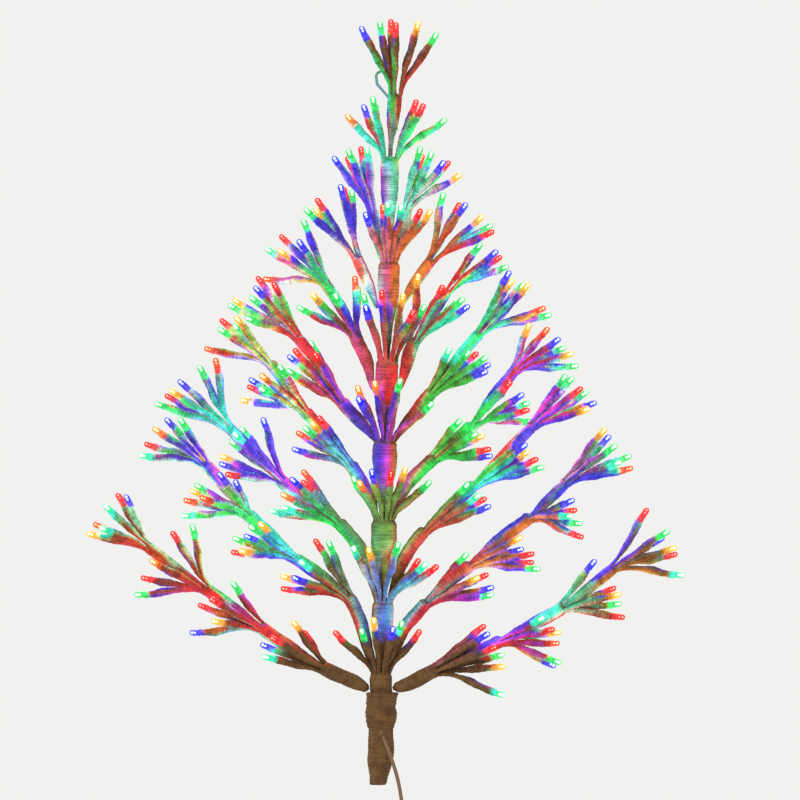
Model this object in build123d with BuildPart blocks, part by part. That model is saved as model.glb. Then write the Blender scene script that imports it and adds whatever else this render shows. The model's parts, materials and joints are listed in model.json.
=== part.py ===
from build123d import *
import os
from math import asin, atan2, cos, dist, pi, radians, sin, tan

os.makedirs("parts", exist_ok=True)

# A flat-backed tree of wrapped wire twigs that hangs on a wall by a loop.
# X runs to the right, the front faces -Y and the wall is behind, at +Y.
# The origin is where a hook carries the hanging loop.

# Overall size. Places in the tables are shares of it: right and down in steps
# of a 763rd of the tree's height, and forward of the trunk's axis in steps of
# a 60th of its depth.
tree_height = 610.0
tree_depth = 76.0
height_step_share = 1 / 763
depth_step_share = 1 / 60
step = tree_height * height_step_share
forward_step = tree_depth * depth_step_share

# Lights
light_width = 5.0
light_length = 8.6
light_seat_gap = 0.1

# Twigs, stems and trunk: the width of each where it is thickest
twig_width = 6.0
stem_width = 10.4
tip_stem_width = 9.0
branch_neck_width = 4.0
low_neck_width = 8.0
low_stem_width = 11.6
wire_width = 1.6
trunk_wire_width = 2.6
wire_clearance = 0.3
wrap_gap = 0.1
hinge_gap = 0.3
twig_gap = 0.25

# Foot of the trunk, and the collar that holds the lowest pair of branches
foot_width = 20.8
foot_top_width = 18.2
collar_width = 25.2
collar_clearance = 0.1

# Hanging loop
loop_wire_width = 2.2

# Lead, its sleeve at the trunk, its tie and its plug
lead_width = 2.9
lead_clearance = 0.3
lead_seat_depth = 4.0
lead_bend_share = 0.45
sleeve_width = 5.4
sleeve_length = 7.0
sleeve_pocket_depth = 5.0
coil_width = 66.0
coil_turns = 7
coil_turn_gap = 0.5
tie_thickness = 1.0
tie_height = 4.0
plug_width = 9.4
plug_length = 24.0
plug_neck_width = 5.6
plug_bore_depth = 8.0
barrel_width = 5.5
barrel_root_width = 4.2
barrel_root_length = 5.4
barrel_bore = 2.1
barrel_length = 9.5
barrel_seat_gap = 0.1
tail_length = 34.0

# Widths along a piece, as shares of its length and of its full width
trunk_width_shares = ((0, 0.28), (0.25, 0.32), (0.45, 0.56), (0.65, 0.95), (0.85, 1.05), (1, 1))
stem_width_shares = ((0.2, 0.58), (0.42, 0.94), (0.7, 1.03), (1, 1))
low_stem_width_shares = ((0.1, 0.88), (0.25, 1.0), (0.7, 1.02), (1, 0.98))
twig_width_shares = ((0, 0.42), (0.22, 0.48), (0.42, 0.74), (0.6, 1), (0.84, 0.96), (1, 0.84))

# Straight spans between two places on the trunk's, a branch's and a twig's line
trunk_spans = 6
branch_spans = 3
twig_spans = 5

# How far a twig keeps to the stem's direction before it turns to its tip
twig_start_share = 0.3
twig_end_share = 0.3

# Tips are (right, down, forward) in steps; a tip is the centre of its light's
# dome. Forward is counted from the middle of the whorl that the twig leaves.
# No tip stands further back than the share named for it.
trunk_middle_share = 384
loop_bearing_share = 71
tip_back_share = -7.9

# The trunk, foot first: where each length of it ends, its width as a share of
# the step, and the tips of the twigs that leave it there.
foot_end_share = (381, 784, 0)
foot_top_share = (381, 678, 0)
foot_tip_shares = (
    (336, 632, 8), (362, 629, 26), (374, 618, 25), (393, 627, 27), (402, 622, 19), (419, 631, 12),
)
trunk_shares = (
    ((383, 605, 0), 21, ((354, 547, 29), (369, 548, 29), (398, 543, 28),
                         (418, 560, 16), (425, 563, 24), (436, 566, 24))),
    ((384, 524, 0), 25, ((354, 478, 22), (360, 482, 30), (372, 471, 19),
                         (391, 473, 18), (405, 469, 22), (429, 482, 13))),
    ((385, 445, 0), 24, ((358, 388, 14), (359, 399, 24), (375, 383, 18),
                         (396, 393, 14), (400, 381, 25), (431, 404, 26))),
    ((387, 364, 0), 22, ((364, 297, 16), (366, 308, 22), (382, 293, 17),
                         (403, 296, 14), (413, 313, 28), (424, 307, -8))),
    ((389, 266, 0), 21, ((366, 216, 27), (383, 208, 17), (388, 206, 26),
                         (401, 208, 18), (420, 213, 27), (430, 213, 22))),
    ((390, 162, 0), 17.5, ((348, 117, 4), (364, 107, -6), (373, 100, 8),
                           (416, 102, -8), (423, 107, 6), (444, 121, 0))),
    ((395, 98, 0), 13.5, ((362, 30, 6), (380, 24, 3), (391, 22, -3),
                          (396, 27, 14), (418, 25, 4), (436, 35, -2))),
)

# Whorls of the trunk whose back half holds a pair of branches
paired_whorl_shares = (678, 605, 524, 445, 266)

# Branches, top pair first. Each has its root, then the bends and the whorl of
# every length of stem, and the tips of the twigs at that whorl.
branch_shares = {
    "left_branch_1": ((266, -1), (
        (((378, 240, -2),), (373, 213, 0),
         ((335, 160, 20), (349, 153, 16), (348, 159, -6), (361, 149, -8), (367, 150, 10))),
    )),
    "right_branch_1": ((266, 1), (
        (((402, 238, -2),), (406, 212, 0),
         ((420, 150, 10), (422, 157, -6), (431, 155, 2), (443, 164, 10), (448, 163, -5), (459, 176, 4))),
    )),
    "left_branch_2": ((306, -1), (
        (((368, 282, 0),), (357, 258, 3),
         ((318, 201, 4), (316, 210, -8), (307, 211, 7), (341, 188, 8), (344, 190, -2), (352, 192, -12))),
    )),
    "right_branch_2": ((306, 1), (
        (((415, 283, 0),), (430, 262, 3),
         ((443, 195, -4), (459, 205, -8), (465, 206, 8), (481, 218, 6), (490, 226, -6), (491, 233, 14))),
    )),
    "left_branch_3": ((388, -1), (
        (((367, 362, 0),), (356, 338, 3),
         ((336, 296, 13), (313, 295, 4), (320, 305, -7), (300, 308, 6), (355, 279, 2), (358, 289, -8))),
        (((345, 314, 5),), (328, 287, 8),
         ((300, 243, 12), (304, 222, -4), (282, 237, -6), (268, 250, 3), (281, 252, 10), (266, 279, -12))),
    )),
    "right_branch_3": ((388, 1), (
        (((407, 362, 0),), (414, 342, 3),
         ((442, 288, 14), (418, 277, 11), (462, 300, 8), (456, 303, -5), (467, 307, -4))),
        (((430, 317, 5),), (446, 293, 8),
         ((480, 245, 0), (495, 253, 8), (499, 258, -2), (506, 267, -9))),
    )),
    "left_branch_4": ((445, -1), (
        (((366, 428, -1),), (343, 403, 3),
         ((316, 355, 15), (311, 343, -8), (296, 351, 7), (290, 357, -6), (289, 371, -2), (297, 379, -8))),
        (((321, 367, 6),), (299, 339, 9),
         ((275, 285, 10), (259, 279, -4), (257, 289, 8), (252, 298, -6), (236, 301, 4), (231, 306, -7), (249, 319, 9))),
    )),
    "right_branch_4": ((445, 1), (
        (((405, 425, -1),), (431, 393, 3),
         ((449, 350, 10), (468, 353, 13), (476, 354, -6), (485, 358, 10), (488, 365, -4), (485, 372, 8))),
        (((459, 357, 6),), (478, 335, 9),
         ((508, 274, 12), (511, 282, -6), (527, 286, 5), (523, 285, -9), (542, 309, 6), (549, 315, -14))),
    )),
    "left_branch_5": ((524, -1), (
        (((370, 497, -1),), (352, 466, 3),
         ((320, 418, 8), (313, 423, 18), (306, 428, 6), (311, 438, -6), (299, 433, -2), (295, 449, 4))),
        (((330, 439, 5),), (307, 413, 7),
         ((263, 376, 12), (252, 380, 2), (250, 387, -8), (262, 389, 6), (243, 400, -2), (281, 367, 20))),
        (((289, 387, 9),), (272, 365, 11),
         ((208, 349, 4), (222, 330, 8), (223, 321, -5), (238, 319, 8), (235, 326, -8))),
    )),
    "right_branch_5": ((524, 1), (
        (((405, 487, -1),), (432, 460, 3),
         ((459, 421, 6), (475, 434, 12), (482, 436, -6), (488, 449, 6), (490, 456, -8))),
        (((451, 443, 5),), (470, 427, 7),
         ((521, 395, 6), (527, 403, -1), (526, 410, 8), (532, 421, -14), (509, 383, 14))),
        (((491, 399, 9),), (512, 373, 11),
         ((546, 330, 4), (528, 326, 14), (557, 340, 5), (563, 348, -7), (570, 354, 7), (575, 366, -2))),
    )),
    "left_branch_6": ((605, -1), (
        (((371, 577, -2), (363, 552, 0)), (340, 524, 3),
         ((304, 472, -6), (304, 482, 10), (293, 479, 17), (284, 494, 9), (284, 507, 6), (272, 511, -6))),
        (((311, 504, 5),), (283, 482, 7),
         ((264, 420, 4), (242, 429, -10), (236, 434, 14), (232, 442, -6), (223, 456, 6), (222, 464, -6),
          (229, 474, 8))),
        (((257, 455, 9),), (230, 428, 11),
         ((201, 368, 4), (217, 361, 8), (181, 382, -4), (173, 391, 7), (168, 396, -8), (159, 404, 4))),
    )),
    "right_branch_6": ((605, 1), (
        (((397, 577, -2), (405, 557, 0)), (423, 532, 3),
         ((467, 484, 18), (478, 495, 15), (484, 499, -8), (488, 506, 4))),
        (((448, 508, 5),), (472, 486, 7),
         ((524, 445, 8), (527, 452, -4), (535, 459, 8), (541, 467, -2))),
        (((501, 457, 9),), (530, 428, 11),
         ((564, 377, 4), (571, 379, -8), (579, 389, 8), (585, 393, -6), (593, 403, 2), (586, 409, 12))),
    )),
    "left_branch_7": ((678, -1), (
        (((368, 650, -3), (361, 622, -1)), (349, 598, 2),
         ((316, 541, -4), (329, 542, 6), (302, 561, 15), (295, 577, 11), (283, 576, -2), (284, 588, 6))),
        (((325, 578, 4),), (298, 559, 6),
         ((252, 526, 9), (262, 523, 15), (247, 536, -4), (236, 538, 6), (234, 552, -6), (242, 550, 6))),
        (((274, 537, 8),), (250, 515, 10),
         ((198, 485, 6), (193, 491, -6), (204, 497, 9), (187, 500, -4), (185, 515, 4), (221, 474, 15),
          (236, 482, -8))),
        (((229, 490, 12),), (207, 464, 13),
         ((182, 420, 4), (168, 420, -6), (157, 429, 6), (148, 444, -4), (143, 455, 6))),
    )),
    "right_branch_7": ((678, 1), (
        (((395, 650, -3), (404, 628, -1)), (425, 604, 2),
         ((466, 555, -11), (477, 577, 6), (486, 575, -6), (491, 587, 5), (491, 595, -8))),
        (((446, 583, 4),), (468, 566, 6),
         ((519, 537, 7), (521, 549, -5), (531, 553, 8), (531, 562, -6), (537, 568, 6))),
        (((498, 540, 8),), (528, 518, 10),
         ((571, 500, 6), (574, 510, -7), (569, 515, 10), (579, 523, -1), (580, 536, 5))),
        (((546, 501, 12),), (563, 484, 13),
         ((603, 430, 4), (608, 437, -8), (613, 446, 8), (628, 456, -2), (617, 462, 12), (629, 468, 0))),
    )),
    "left_branch_8": ((692, -1), (
        (((347, 678, 0),), (325, 668, 2),
         ((294, 622, 5), (305, 633, -9), (273, 637, 15), (263, 645, -8), (265, 656, 2))),
        (((294, 649, 4),), (263, 628, 6),
         ((234, 583, 4), (213, 598, 13), (201, 605, -3), (215, 620, 7), (193, 632, 0))),
        (((236, 609, 8),), (208, 589, 10),
         ((174, 533, 2), (194, 526, 8), (154, 560, 9), (161, 567, -7), (145, 577, 4), (138, 594, -2))),
        (((179, 569, 12),), (150, 547, 13),
         ((120, 495, 4), (127, 497, -8), (108, 506, 6), (97, 524, -3), (104, 527, 9), (91, 533, 5))),
    )),
    "right_branch_8": ((692, 1), (
        (((414, 681, 0),), (434, 670, 2),
         ((483, 626, 2), (487, 633, 11), (494, 646, 15), (502, 655, -9), (503, 666, -2), (502, 694, 4))),
        (((466, 656, 4),), (499, 641, 6),
         ((541, 617, 15), (551, 628, 6), (558, 632, -6), (556, 642, 6), (558, 661, 6), (553, 665, -6))),
        (((530, 625, 8),), (560, 608, 10),
         ((593, 561, 4), (613, 588, -7), (617, 593, 8), (618, 603, -1), (621, 616, 5))),
        (((587, 588, 12),), (612, 568, 13),
         ((645, 510, 2), (665, 531, 8), (661, 538, -7), (672, 547, 6), (674, 554, -9), (680, 574, 4))),
    )),
}

# Where the ring of twigs and a branch's neck stand on the end of a length of trunk
neck_angle_share = 38 / 360
open_ring_share = 1 / 2

# The hook stands this far behind the trunk's axis, and the loop's wire runs
# round it: up behind the trunk, over the hook and back down.
hook_depth_share = 6.3
loop_shares = (
    (392.5, 130, -5.5), (392.5, 112, -5.9), (389, 98, -6.3), (377, 84, -6.3), (376, 74, -6.3),
    (384, 69.6, -6.3), (392, 74, -6.3), (394.5, 86, -6.3), (396.5, 100, -6.3), (396.5, 112, -5.9),
    (396.5, 130, -5.5),
)
loop_bend_radius = 3.2

# Outline of the foot and the collar: (down, share of the full width)
foot_shares = ((784, 0.62), (776, 0.7), (762, 0.94), (742, 1), (729, 0.96))
collar_shares = (
    (727, 0.84), (725, 0.9), (722, 0.93), (718, 0.95), (715, 0.99), (710, 0.985), (706, 0.93),
    (702, 0.94), (697, 0.96), (692, 1),
)
collar_foot_share = 728
collar_top_share = 692
wire_foot_share = 768


def place(right, down, forward):
    """Turn a table's steps into a point in millimetres."""
    across = (right - trunk_middle_share) * step
    up = (loop_bearing_share - down) * step
    return Vector(across, -(forward + hook_depth_share) * forward_step, up)


def smooth_points(knots, spans):
    """Points and directions along a smooth curve through the knots."""
    slopes = []
    for index, knot in enumerate(knots):
        before = knots[max(index - 1, 0)]
        after = knots[min(index + 1, len(knots) - 1)]
        slopes.append((after - before) / (2 if 0 < index < len(knots) - 1 else 1))
    line = []
    for index in range(len(knots) - 1):
        start, end = knots[index], knots[index + 1]
        for count in range(spans + (index == len(knots) - 2)):
            s = count / spans
            point = (start * (2 * s**3 - 3 * s**2 + 1) + slopes[index] * (s**3 - 2 * s**2 + s)
                     + end * (3 * s**2 - 2 * s**3) + slopes[index + 1] * (s**3 - s**2))
            way = (start * (6 * s**2 - 6 * s) + slopes[index] * (3 * s**2 - 4 * s + 1)
                   + end * (6 * s - 6 * s**2) + slopes[index + 1] * (3 * s**2 - 2 * s))
            line.append((point, way.normalized()))
    return line


def bow_points(start, way, end, end_way):
    """Points and directions along a bow that leaves and arrives as given."""
    reach = (end - start).length
    first = start + way * reach * twig_start_share
    second = end - end_way * reach * twig_end_share
    line = []
    for count in range(twig_spans + 1):
        s = count / twig_spans
        point = start * (1 - s)**3 + first * 3 * s * (1 - s)**2 + second * 3 * s**2 * (1 - s) + end * s**3
        slope = (first - start) * (1 - s)**2 + (second - first) * 2 * s * (1 - s) + (end - second) * s**2
        line.append((point, slope.normalized()))
    return line


def share_along(shares, along):
    """Read a table of (place, width) shares at one place, in straight steps."""
    for (low, low_value), (high, high_value) in zip(shares, shares[1:]):
        if along <= high:
            return low_value + (high_value - low_value) * (along - low) / (high - low)
    return shares[-1][1]


def with_widths(line, shares, width):
    """Give each point of a line its width from a table of shares."""
    lengths = [0]
    for (before, _), (after, _) in zip(line, line[1:]):
        lengths.append(lengths[-1] + (after - before).length)
    return [(point, way, share_along(shares, length / lengths[-1]) * width / 2)
            for (point, way), length in zip(line, lengths)]


def across_plane(point, way):
    """The plane across a run at a point, turned the same way all along it."""
    side = way.cross(Vector(0, 1, 0)).normalized()
    return Plane(origin=point, x_dir=side, z_dir=way)


def spread_angles(angles, apart, low, high):
    """Move sorted angles apart until none is nearer to the next than apart."""
    angles = list(angles)
    closed = high - low > 1.9 * pi
    for turn in range(200):
        for index in range(len(angles) - (0 if closed else 1)):
            after = (index + 1) % len(angles)
            gap = angles[after] - angles[index] + (2 * pi if after == 0 else 0)
            if gap < apart:
                angles[index] -= (apart - gap) / 2
                angles[after] += (apart - gap) / 2
        if not closed:
            angles = [min(max(angle, low), high) for angle in angles]
    return angles


def beads(run):
    """A run as a string of (x, y, z, radius) beads, for measuring gaps."""
    string = []
    for (low, _, low_radius), (high, _, high_radius) in zip(run, run[1:]):
        for count in range(3):
            point = low + (high - low) * (count / 3)
            string.append((point.X, point.Y, point.Z, low_radius + (high_radius - low_radius) * count / 3))
    return string


def closest(string, other):
    """The least gap between two strings of beads, and which is in front there."""
    least = None
    for ax, ay, az, ar in string:
        for bx, by, bz, br in other:
            gap = dist((ax, ay, az), (bx, by, bz)) - ar - br
            if least is None or gap < least[0]:
                least = (gap, ay - by)
    return least


def one_twig(start, way, tip):
    """A twig's stations, base first, and its beads with its light's."""
    end_way = (tip - start).normalized()
    end = tip - end_way * (light_length - light_width / 2 + light_seat_gap)
    line = bow_points(start, way, end, end_way)
    stations = with_widths(line, twig_width_shares, twig_width)
    radius = light_width / 2
    string = beads(stations + [(end, end_way, radius), (tip, end_way, radius)])
    return stations, string + [(tip.X, tip.Y, tip.Z, radius)]


def ease_apart(starts, way, tips, beside):
    """Twigs whose tips move forward or back until none touches another.

    The tips keep their places as seen from the front, and stay off the wall.
    """
    back = place(0, 0, tip_back_share).Y
    tips = [Vector(tip.X, min(tip.Y, back), tip.Z) for tip in tips]
    twigs = [one_twig(start, way, tip) for start, tip in zip(starts, tips)]
    for turn in range(40):
        moves = [0] * len(tips)
        for index, (_, string) in enumerate(twigs):
            for other in range(index + 1, len(twigs)):
                gap, behind = closest(string, twigs[other][1])
                if gap < twig_gap:
                    push = (twig_gap - gap) * (1 if behind > 0 else -1)
                    moves[index] += push
                    moves[other] -= push
            for obstacle in beside:
                gap, behind = closest(string, obstacle)
                if gap < twig_gap:
                    moves[index] += 2 * (twig_gap - gap) * (1 if behind > 0 else -1)
        if not any(moves):
            break
        for index, move in enumerate(moves):
            if move:
                tip = tips[index]
                tips[index] = Vector(tip.X, min(tip.Y + move, back), tip.Z)
                twigs[index] = one_twig(starts[index], way, tips[index])
    return [stations for stations, _ in twigs]


def twig_lines(middle, way, whorl, tips, width, hole_width, beside, paired=False):
    """Each twig of a whorl as points, directions and radii, base first.

    The twigs stand in a ring round the middle of a stem's end, each on the
    side that its tip lies on. On a length of trunk that holds a pair of
    branches, they keep to the front half of the ring.
    """
    base = across_plane(middle, way)
    twig_base = share_along(twig_width_shares, 0) * twig_width
    reach = width / 2 - twig_base / 2 - wrap_gap
    if paired:
        reach = min(reach, (width / 2 + hole_width / 2) * open_ring_share)
    aims = []
    for right, down, forward in tips:
        tip = place(right, down, whorl[2] + forward)
        offset = base.to_local_coords(tip)
        angle = atan2(offset.Y, offset.X)
        aims.append((abs(angle) if paired else angle % (2 * pi), tip))
    aims.sort(key=lambda aim: aim[0])
    apart = 2 * asin((twig_base / 2 + wrap_gap) / reach)
    low, high = (0, pi) if paired else (0, 2 * pi)
    turns = spread_angles([aim[0] for aim in aims], apart, low, high)
    starts = [base.from_local_coords(Vector(reach * cos(turn), reach * sin(turn), wrap_gap)) for turn in turns]
    return ease_apart(starts, way, [tip for _, tip in aims], beside)


def trunk_lengths():
    """Every length of the trunk: its line with radii, and its twigs' lines."""
    knots = [place(*foot_top_share)] + [place(*whorl) for whorl, _, _ in trunk_shares]
    line = smooth_points(knots, trunk_spans)
    widths = [foot_top_width] + [width * step for _, width, _ in trunk_shares]
    whorls = [foot_top_share] + [whorl for whorl, _, _ in trunk_shares]
    tips = [foot_tip_shares] + [whorl_tips for _, _, whorl_tips in trunk_shares]
    necks = [share_along(trunk_width_shares, 0) * width for width in widths[1:]] + [0]
    lengths = []
    for index in range(1, len(knots)):
        part_line = line[trunk_spans * (index - 1):trunk_spans * index + 1]
        lengths.append(with_widths(part_line, trunk_width_shares, widths[index]))
    twigs = []
    for index, whorl in enumerate(whorls):
        point, way = line[trunk_spans * index]
        paired = whorl[1] in paired_whorl_shares
        beside = [beads(lengths[index])] if index < len(lengths) else []
        twigs += twig_lines(point, way, whorl, tips[index], widths[index], necks[index], beside, paired)
    return line, lengths, twigs, widths


def branch_root(down, side, line, lengths, widths):
    """The middle of a branch's rounded neck, where it bends at the trunk."""
    radius = branch_neck_width / 2
    if down in paired_whorl_shares:
        index = [foot_top_share[1]] + [whorl[1] for whorl, _, _ in trunk_shares]
        number = index.index(down)
        point, way = line[trunk_spans * number]
        reach = widths[number] / 2 - radius - hinge_gap
        turn = 2 * pi * neck_angle_share
        base = across_plane(point, way)
        return base.from_local_coords(
            Vector(-side * reach * cos(turn), -reach * sin(turn), radius + hinge_gap))
    if down == collar_top_share:
        radius = low_neck_width / 2
        reach = foot_top_width / 2 + radius + collar_clearance
        return place(foot_top_share[0], down, 0) + Vector(side * reach, 0, radius + hinge_gap)
    height = place(0, down, 0).Z
    for stations in lengths:
        for (low, _, low_radius), (high, _, high_radius) in zip(stations, stations[1:]):
            if low.Z <= height <= high.Z:
                share = (height - low.Z) / (high.Z - low.Z)
                beside = low_radius + (high_radius - low_radius) * share + radius + hinge_gap
                return low + (high - low) * share + Vector(side * beside, 0, 0)


def neck_width(name):
    """How wide a branch's neck is: the lowest pair's stand clear of the trunk."""
    return low_neck_width if branch_shares[name][0][0] == collar_top_share else branch_neck_width


def branch_lines(name):
    """A branch's root, its wire's line, its stem lengths and its twigs."""
    (down, side), whorls = branch_shares[name]
    root = branch_root(down, side, trunk_line, trunk_runs, trunk_widths)
    knots, ends = [root], []
    for bends, whorl, _ in whorls:
        knots += [place(*bend) for bend in bends] + [place(*whorl)]
        ends.append(len(knots) - 1)
    line = smooth_points(knots, branch_spans)
    stems = []
    for number, (_, whorl, tips) in enumerate(whorls):
        last = number == len(whorls) - 1
        width = tip_stem_width if last else stem_width
        start = 0 if number == 0 else branch_spans * ends[number - 1]
        part_line = line[start:branch_spans * ends[number] + 1]
        if number > 0:
            part_line = [(part_line[0][0] + part_line[0][1] * wrap_gap, part_line[0][1])] + part_line[1:]
        neck, shares = branch_neck_width, stem_width_shares
        if number == 0 and down == collar_top_share:
            width, neck, shares = low_stem_width, low_neck_width, low_stem_width_shares
        shares = ((0, neck / width),) + shares
        stems.append(with_widths(part_line, shares, width))
    twigs = []
    for number, (_, whorl, tips) in enumerate(whorls):
        last = number == len(whorls) - 1
        beside = [] if last else [beads(stems[number + 1])]
        width = 2 * stems[number][-1][2]
        hole_width = 0 if last else branch_neck_width
        point, way = line[branch_spans * ends[number]]
        twigs += twig_lines(point, way, whorl, tips, width, hole_width, beside)
    return root, line, stems, twigs


def loft_run(stations, mode=Mode.ADD):
    """One wrapped piece: a loft through a circle at each station."""
    sections = []
    for point, way, radius in stations:
        with BuildSketch(across_plane(point, way)) as section:
            Circle(radius)
        sections.append(section.sketch)
    loft(sections, ruled=True, clean=False, mode=mode)


def light_planes(twigs):
    """Where each light stands: on the end of its twig."""
    return [across_plane(point + way * light_seat_gap, way) for point, way, _ in (twig[-1] for twig in twigs)]


def wire_run(line, width):
    """A wire of even width along a line, stopping short of its last point."""
    return [(point, way, width / 2) for point, way in line[:-1]]


trunk_line, trunk_runs, trunk_twigs_lines, trunk_widths = trunk_lengths()

# The lead's free run, in millimetres from its start in the foot: out of the
# front below the collar, down past the foot and on to the coil.
lead_points = (
    (0, 0, 0), (4.0, -10.8, -9.6), (9.4, -11.4, -23.9), (14.2, -11.6, -40.0),
    (17.4, -11.4, -61.0), (18.4, -11.0, -81.0), (18.4, -11.0, -101.0),
)
lead_start_share = (381, 730, 5.6)
lead_start = place(*lead_start_share)
lead_route = [lead_start + Vector(*point) for point in lead_points]
lead_exit_way = (lead_route[1] - lead_route[0]).normalized()
lead_exit = lead_start + lead_exit_way * lead_seat_depth

# One light: a round body with a domed end
with BuildPart() as light:
    with BuildSketch():
        Circle(light_width / 2)
    extrude(amount=light_length - light_width / 2)
    with Locations((0, 0, light_length - light_width / 2)):
        Sphere(light_width / 2)

# The trunk's foot, with the wire's bore and the pocket where the lead comes out
foot_middle = place(*foot_end_share)
foot_axis = Axis(foot_middle, (0, 0, 1))
foot_plane = Plane(origin=foot_middle, x_dir=(1, 0, 0), z_dir=(0, -1, 0))
foot_rise = place(*foot_top_share).Z - foot_middle.Z
trunk_bore_width = trunk_wire_width + 2 * wire_clearance
wire_foot = (place(foot_end_share[0], wire_foot_share, 0), Vector(0, 0, 1))
exit_plane = Plane(origin=lead_exit, z_dir=lead_exit_way)


def rise(down):
    """Height above the foot's end of a place in the tables."""
    return place(0, down, 0).Z - foot_middle.Z


with BuildPart() as trunk_foot:
    with BuildSketch(foot_plane):
        with BuildLine():
            Polyline(
                (0, 0),
                *[(share * foot_width / 2, rise(down)) for down, share in foot_shares],
                (foot_top_width / 2, rise(collar_foot_share)),
                (foot_top_width / 2, foot_rise),
                (0, foot_rise),
                close=True,
            )
        make_face()
    revolve(axis=foot_axis)
    loft_run([(point, way, trunk_bore_width / 2) for point, way in (wire_foot, trunk_line[0])], Mode.SUBTRACT)
    with BuildSketch(exit_plane):
        Circle(sleeve_width / 2 + collar_clearance)
    extrude(amount=-sleeve_pocket_depth, mode=Mode.SUBTRACT)
    with BuildSketch(exit_plane):
        Circle(sleeve_width / 2 + collar_clearance)
    extrude(amount=sleeve_length, mode=Mode.SUBTRACT)
trunk_foot.part.label = "trunk_foot"
export_step(trunk_foot.part, "parts/trunk_foot.step")

with BuildPart() as collar_wrap:
    with BuildSketch(foot_plane):
        with BuildLine():
            Polyline(
                (foot_top_width / 2 + collar_clearance, rise(collar_foot_share) + collar_clearance),
                *[(share * collar_width / 2, rise(down)) for down, share in collar_shares],
                (foot_top_width / 2 + collar_clearance, rise(collar_top_share)),
                close=True,
            )
        make_face()
    revolve(axis=foot_axis)
collar_wrap.part.label = "collar_wrap"
export_step(collar_wrap.part, "parts/collar_wrap.step")

# The lengths of the trunk above its foot, each a wrapped bundle
with BuildPart() as trunk_wrap:
    for number, run in enumerate(trunk_runs):
        point, way, radius = run[0]
        loft_run([(point + way * wrap_gap, way, radius)] + run[1:])
    loft_run(wire_run(trunk_line, trunk_bore_width), Mode.SUBTRACT)
trunk_wrap.part.label = "trunk_wrap"
export_step(trunk_wrap.part, "parts/trunk_wrap.step")

with BuildPart() as trunk_wire:
    loft_run([(*wire_foot, trunk_wire_width / 2)] + wire_run(trunk_line, trunk_wire_width))
trunk_wire.part.label = "trunk_wire"
export_step(trunk_wire.part, "parts/trunk_wire.step")

with BuildPart() as trunk_twigs:
    for twig in trunk_twigs_lines:
        loft_run(twig)
trunk_twigs.part.label = "trunk_twigs"
export_step(trunk_twigs.part, "parts/trunk_twigs.step")

with BuildPart() as trunk_lights:
    with Locations(*light_planes(trunk_twigs_lines)):
        add(light.part, clean=False)
trunk_lights.part.label = "trunk_lights"
export_step(trunk_lights.part, "parts/trunk_lights.step")

# Each branch: its wrapped stems and twigs, its lights and its bending wire
for name in branch_shares:
    root, line, stems, twigs = branch_lines(name)
    with BuildPart() as branch_wrap:
        with Locations(root):
            Sphere(neck_width(name) / 2)
        for stem in stems:
            loft_run(stem)
        loft_run(wire_run(line, wire_width + 2 * wire_clearance), Mode.SUBTRACT)
        for twig in twigs:
            loft_run(twig)
    branch_wrap.part.label = name + "_wrap"
    export_step(branch_wrap.part, "parts/" + name + "_wrap.step")

    with BuildPart() as branch_lights:
        with Locations(*light_planes(twigs)):
            add(light.part, clean=False)
    branch_lights.part.label = name + "_lights"
    export_step(branch_lights.part, "parts/" + name + "_lights.step")

    with BuildPart() as branch_wire:
        loft_run(wire_run(line, wire_width))
    branch_wire.part.label = name + "_wire"
    export_step(branch_wire.part, "parts/" + name + "_wire.step")

# Hanging loop: one wire up behind the trunk, over the hook and back down
with BuildPart() as hanging_loop:
    with BuildLine() as loop_line:
        FilletPolyline(*[place(*share) for share in loop_shares], radius=loop_bend_radius)
    with BuildSketch(Plane(origin=loop_line.line @ 0, z_dir=loop_line.line % 0)):
        Circle(loop_wire_width / 2)
    sweep(path=loop_line.line)
hanging_loop.part.label = "hanging_loop"
export_step(hanging_loop.part, "parts/hanging_loop.step")

# The sleeve that the lead comes out of, seated in the foot's pocket
with BuildPart() as lead_sleeve:
    with BuildSketch(exit_plane.offset(wrap_gap - sleeve_pocket_depth)):
        Circle(sleeve_width / 2)
        Circle(lead_width / 2 + lead_clearance, mode=Mode.SUBTRACT)
    extrude(amount=sleeve_length)
lead_sleeve.part.label = "lead_sleeve"
export_step(lead_sleeve.part, "parts/lead_sleeve.step")

# The lead, one unbroken tube: the free run, the coil that hangs below the
# foot, and the tail that holds the plug. The coil's turns are half circles,
# each tipped so that the next turn lies a pitch nearer to the wall.
coil_pitch = lead_width + coil_turn_gap
coil_start = lead_route[-1]
coil_middle = coil_start - Vector(coil_width / 2, 0, 0)
half_turns = 2 * coil_turns - 1
coil_depth = coil_pitch * (half_turns / 2 + 1)


def bend_radii():
    """The radius of each bend: as large as the runs on its two sides allow."""
    runs = [after - before for before, after in zip(lead_route, lead_route[1:])]
    return [lead_bend_share * min(before.length, after.length) / tan(radians(before.get_angle(after)) / 2)
            for before, after in zip(runs, runs[1:])]


def coil_knots():
    """Where the coil's half turns meet, at its foot and top by turns."""
    back = 0
    knots = [coil_middle - Vector(0, 0, coil_width / 2)]
    for count in range(half_turns):
        back += coil_pitch if count in (0, half_turns - 1) else coil_pitch / 2
        up = -1 if count % 2 else 1
        knots.append(coil_middle + Vector(0, back, up * coil_width / 2))
    return knots


def coil_arcs():
    """Each half turn as its start, middle and end."""
    knots = coil_knots()
    arcs = []
    for count, (start, end) in enumerate(zip(knots, knots[1:])):
        side = 1 if count % 2 else -1
        reach = (end - start).length / 2
        arcs.append((start, (start + end) * 0.5 + Vector(side * reach, 0, 0), end))
    return arcs


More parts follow.
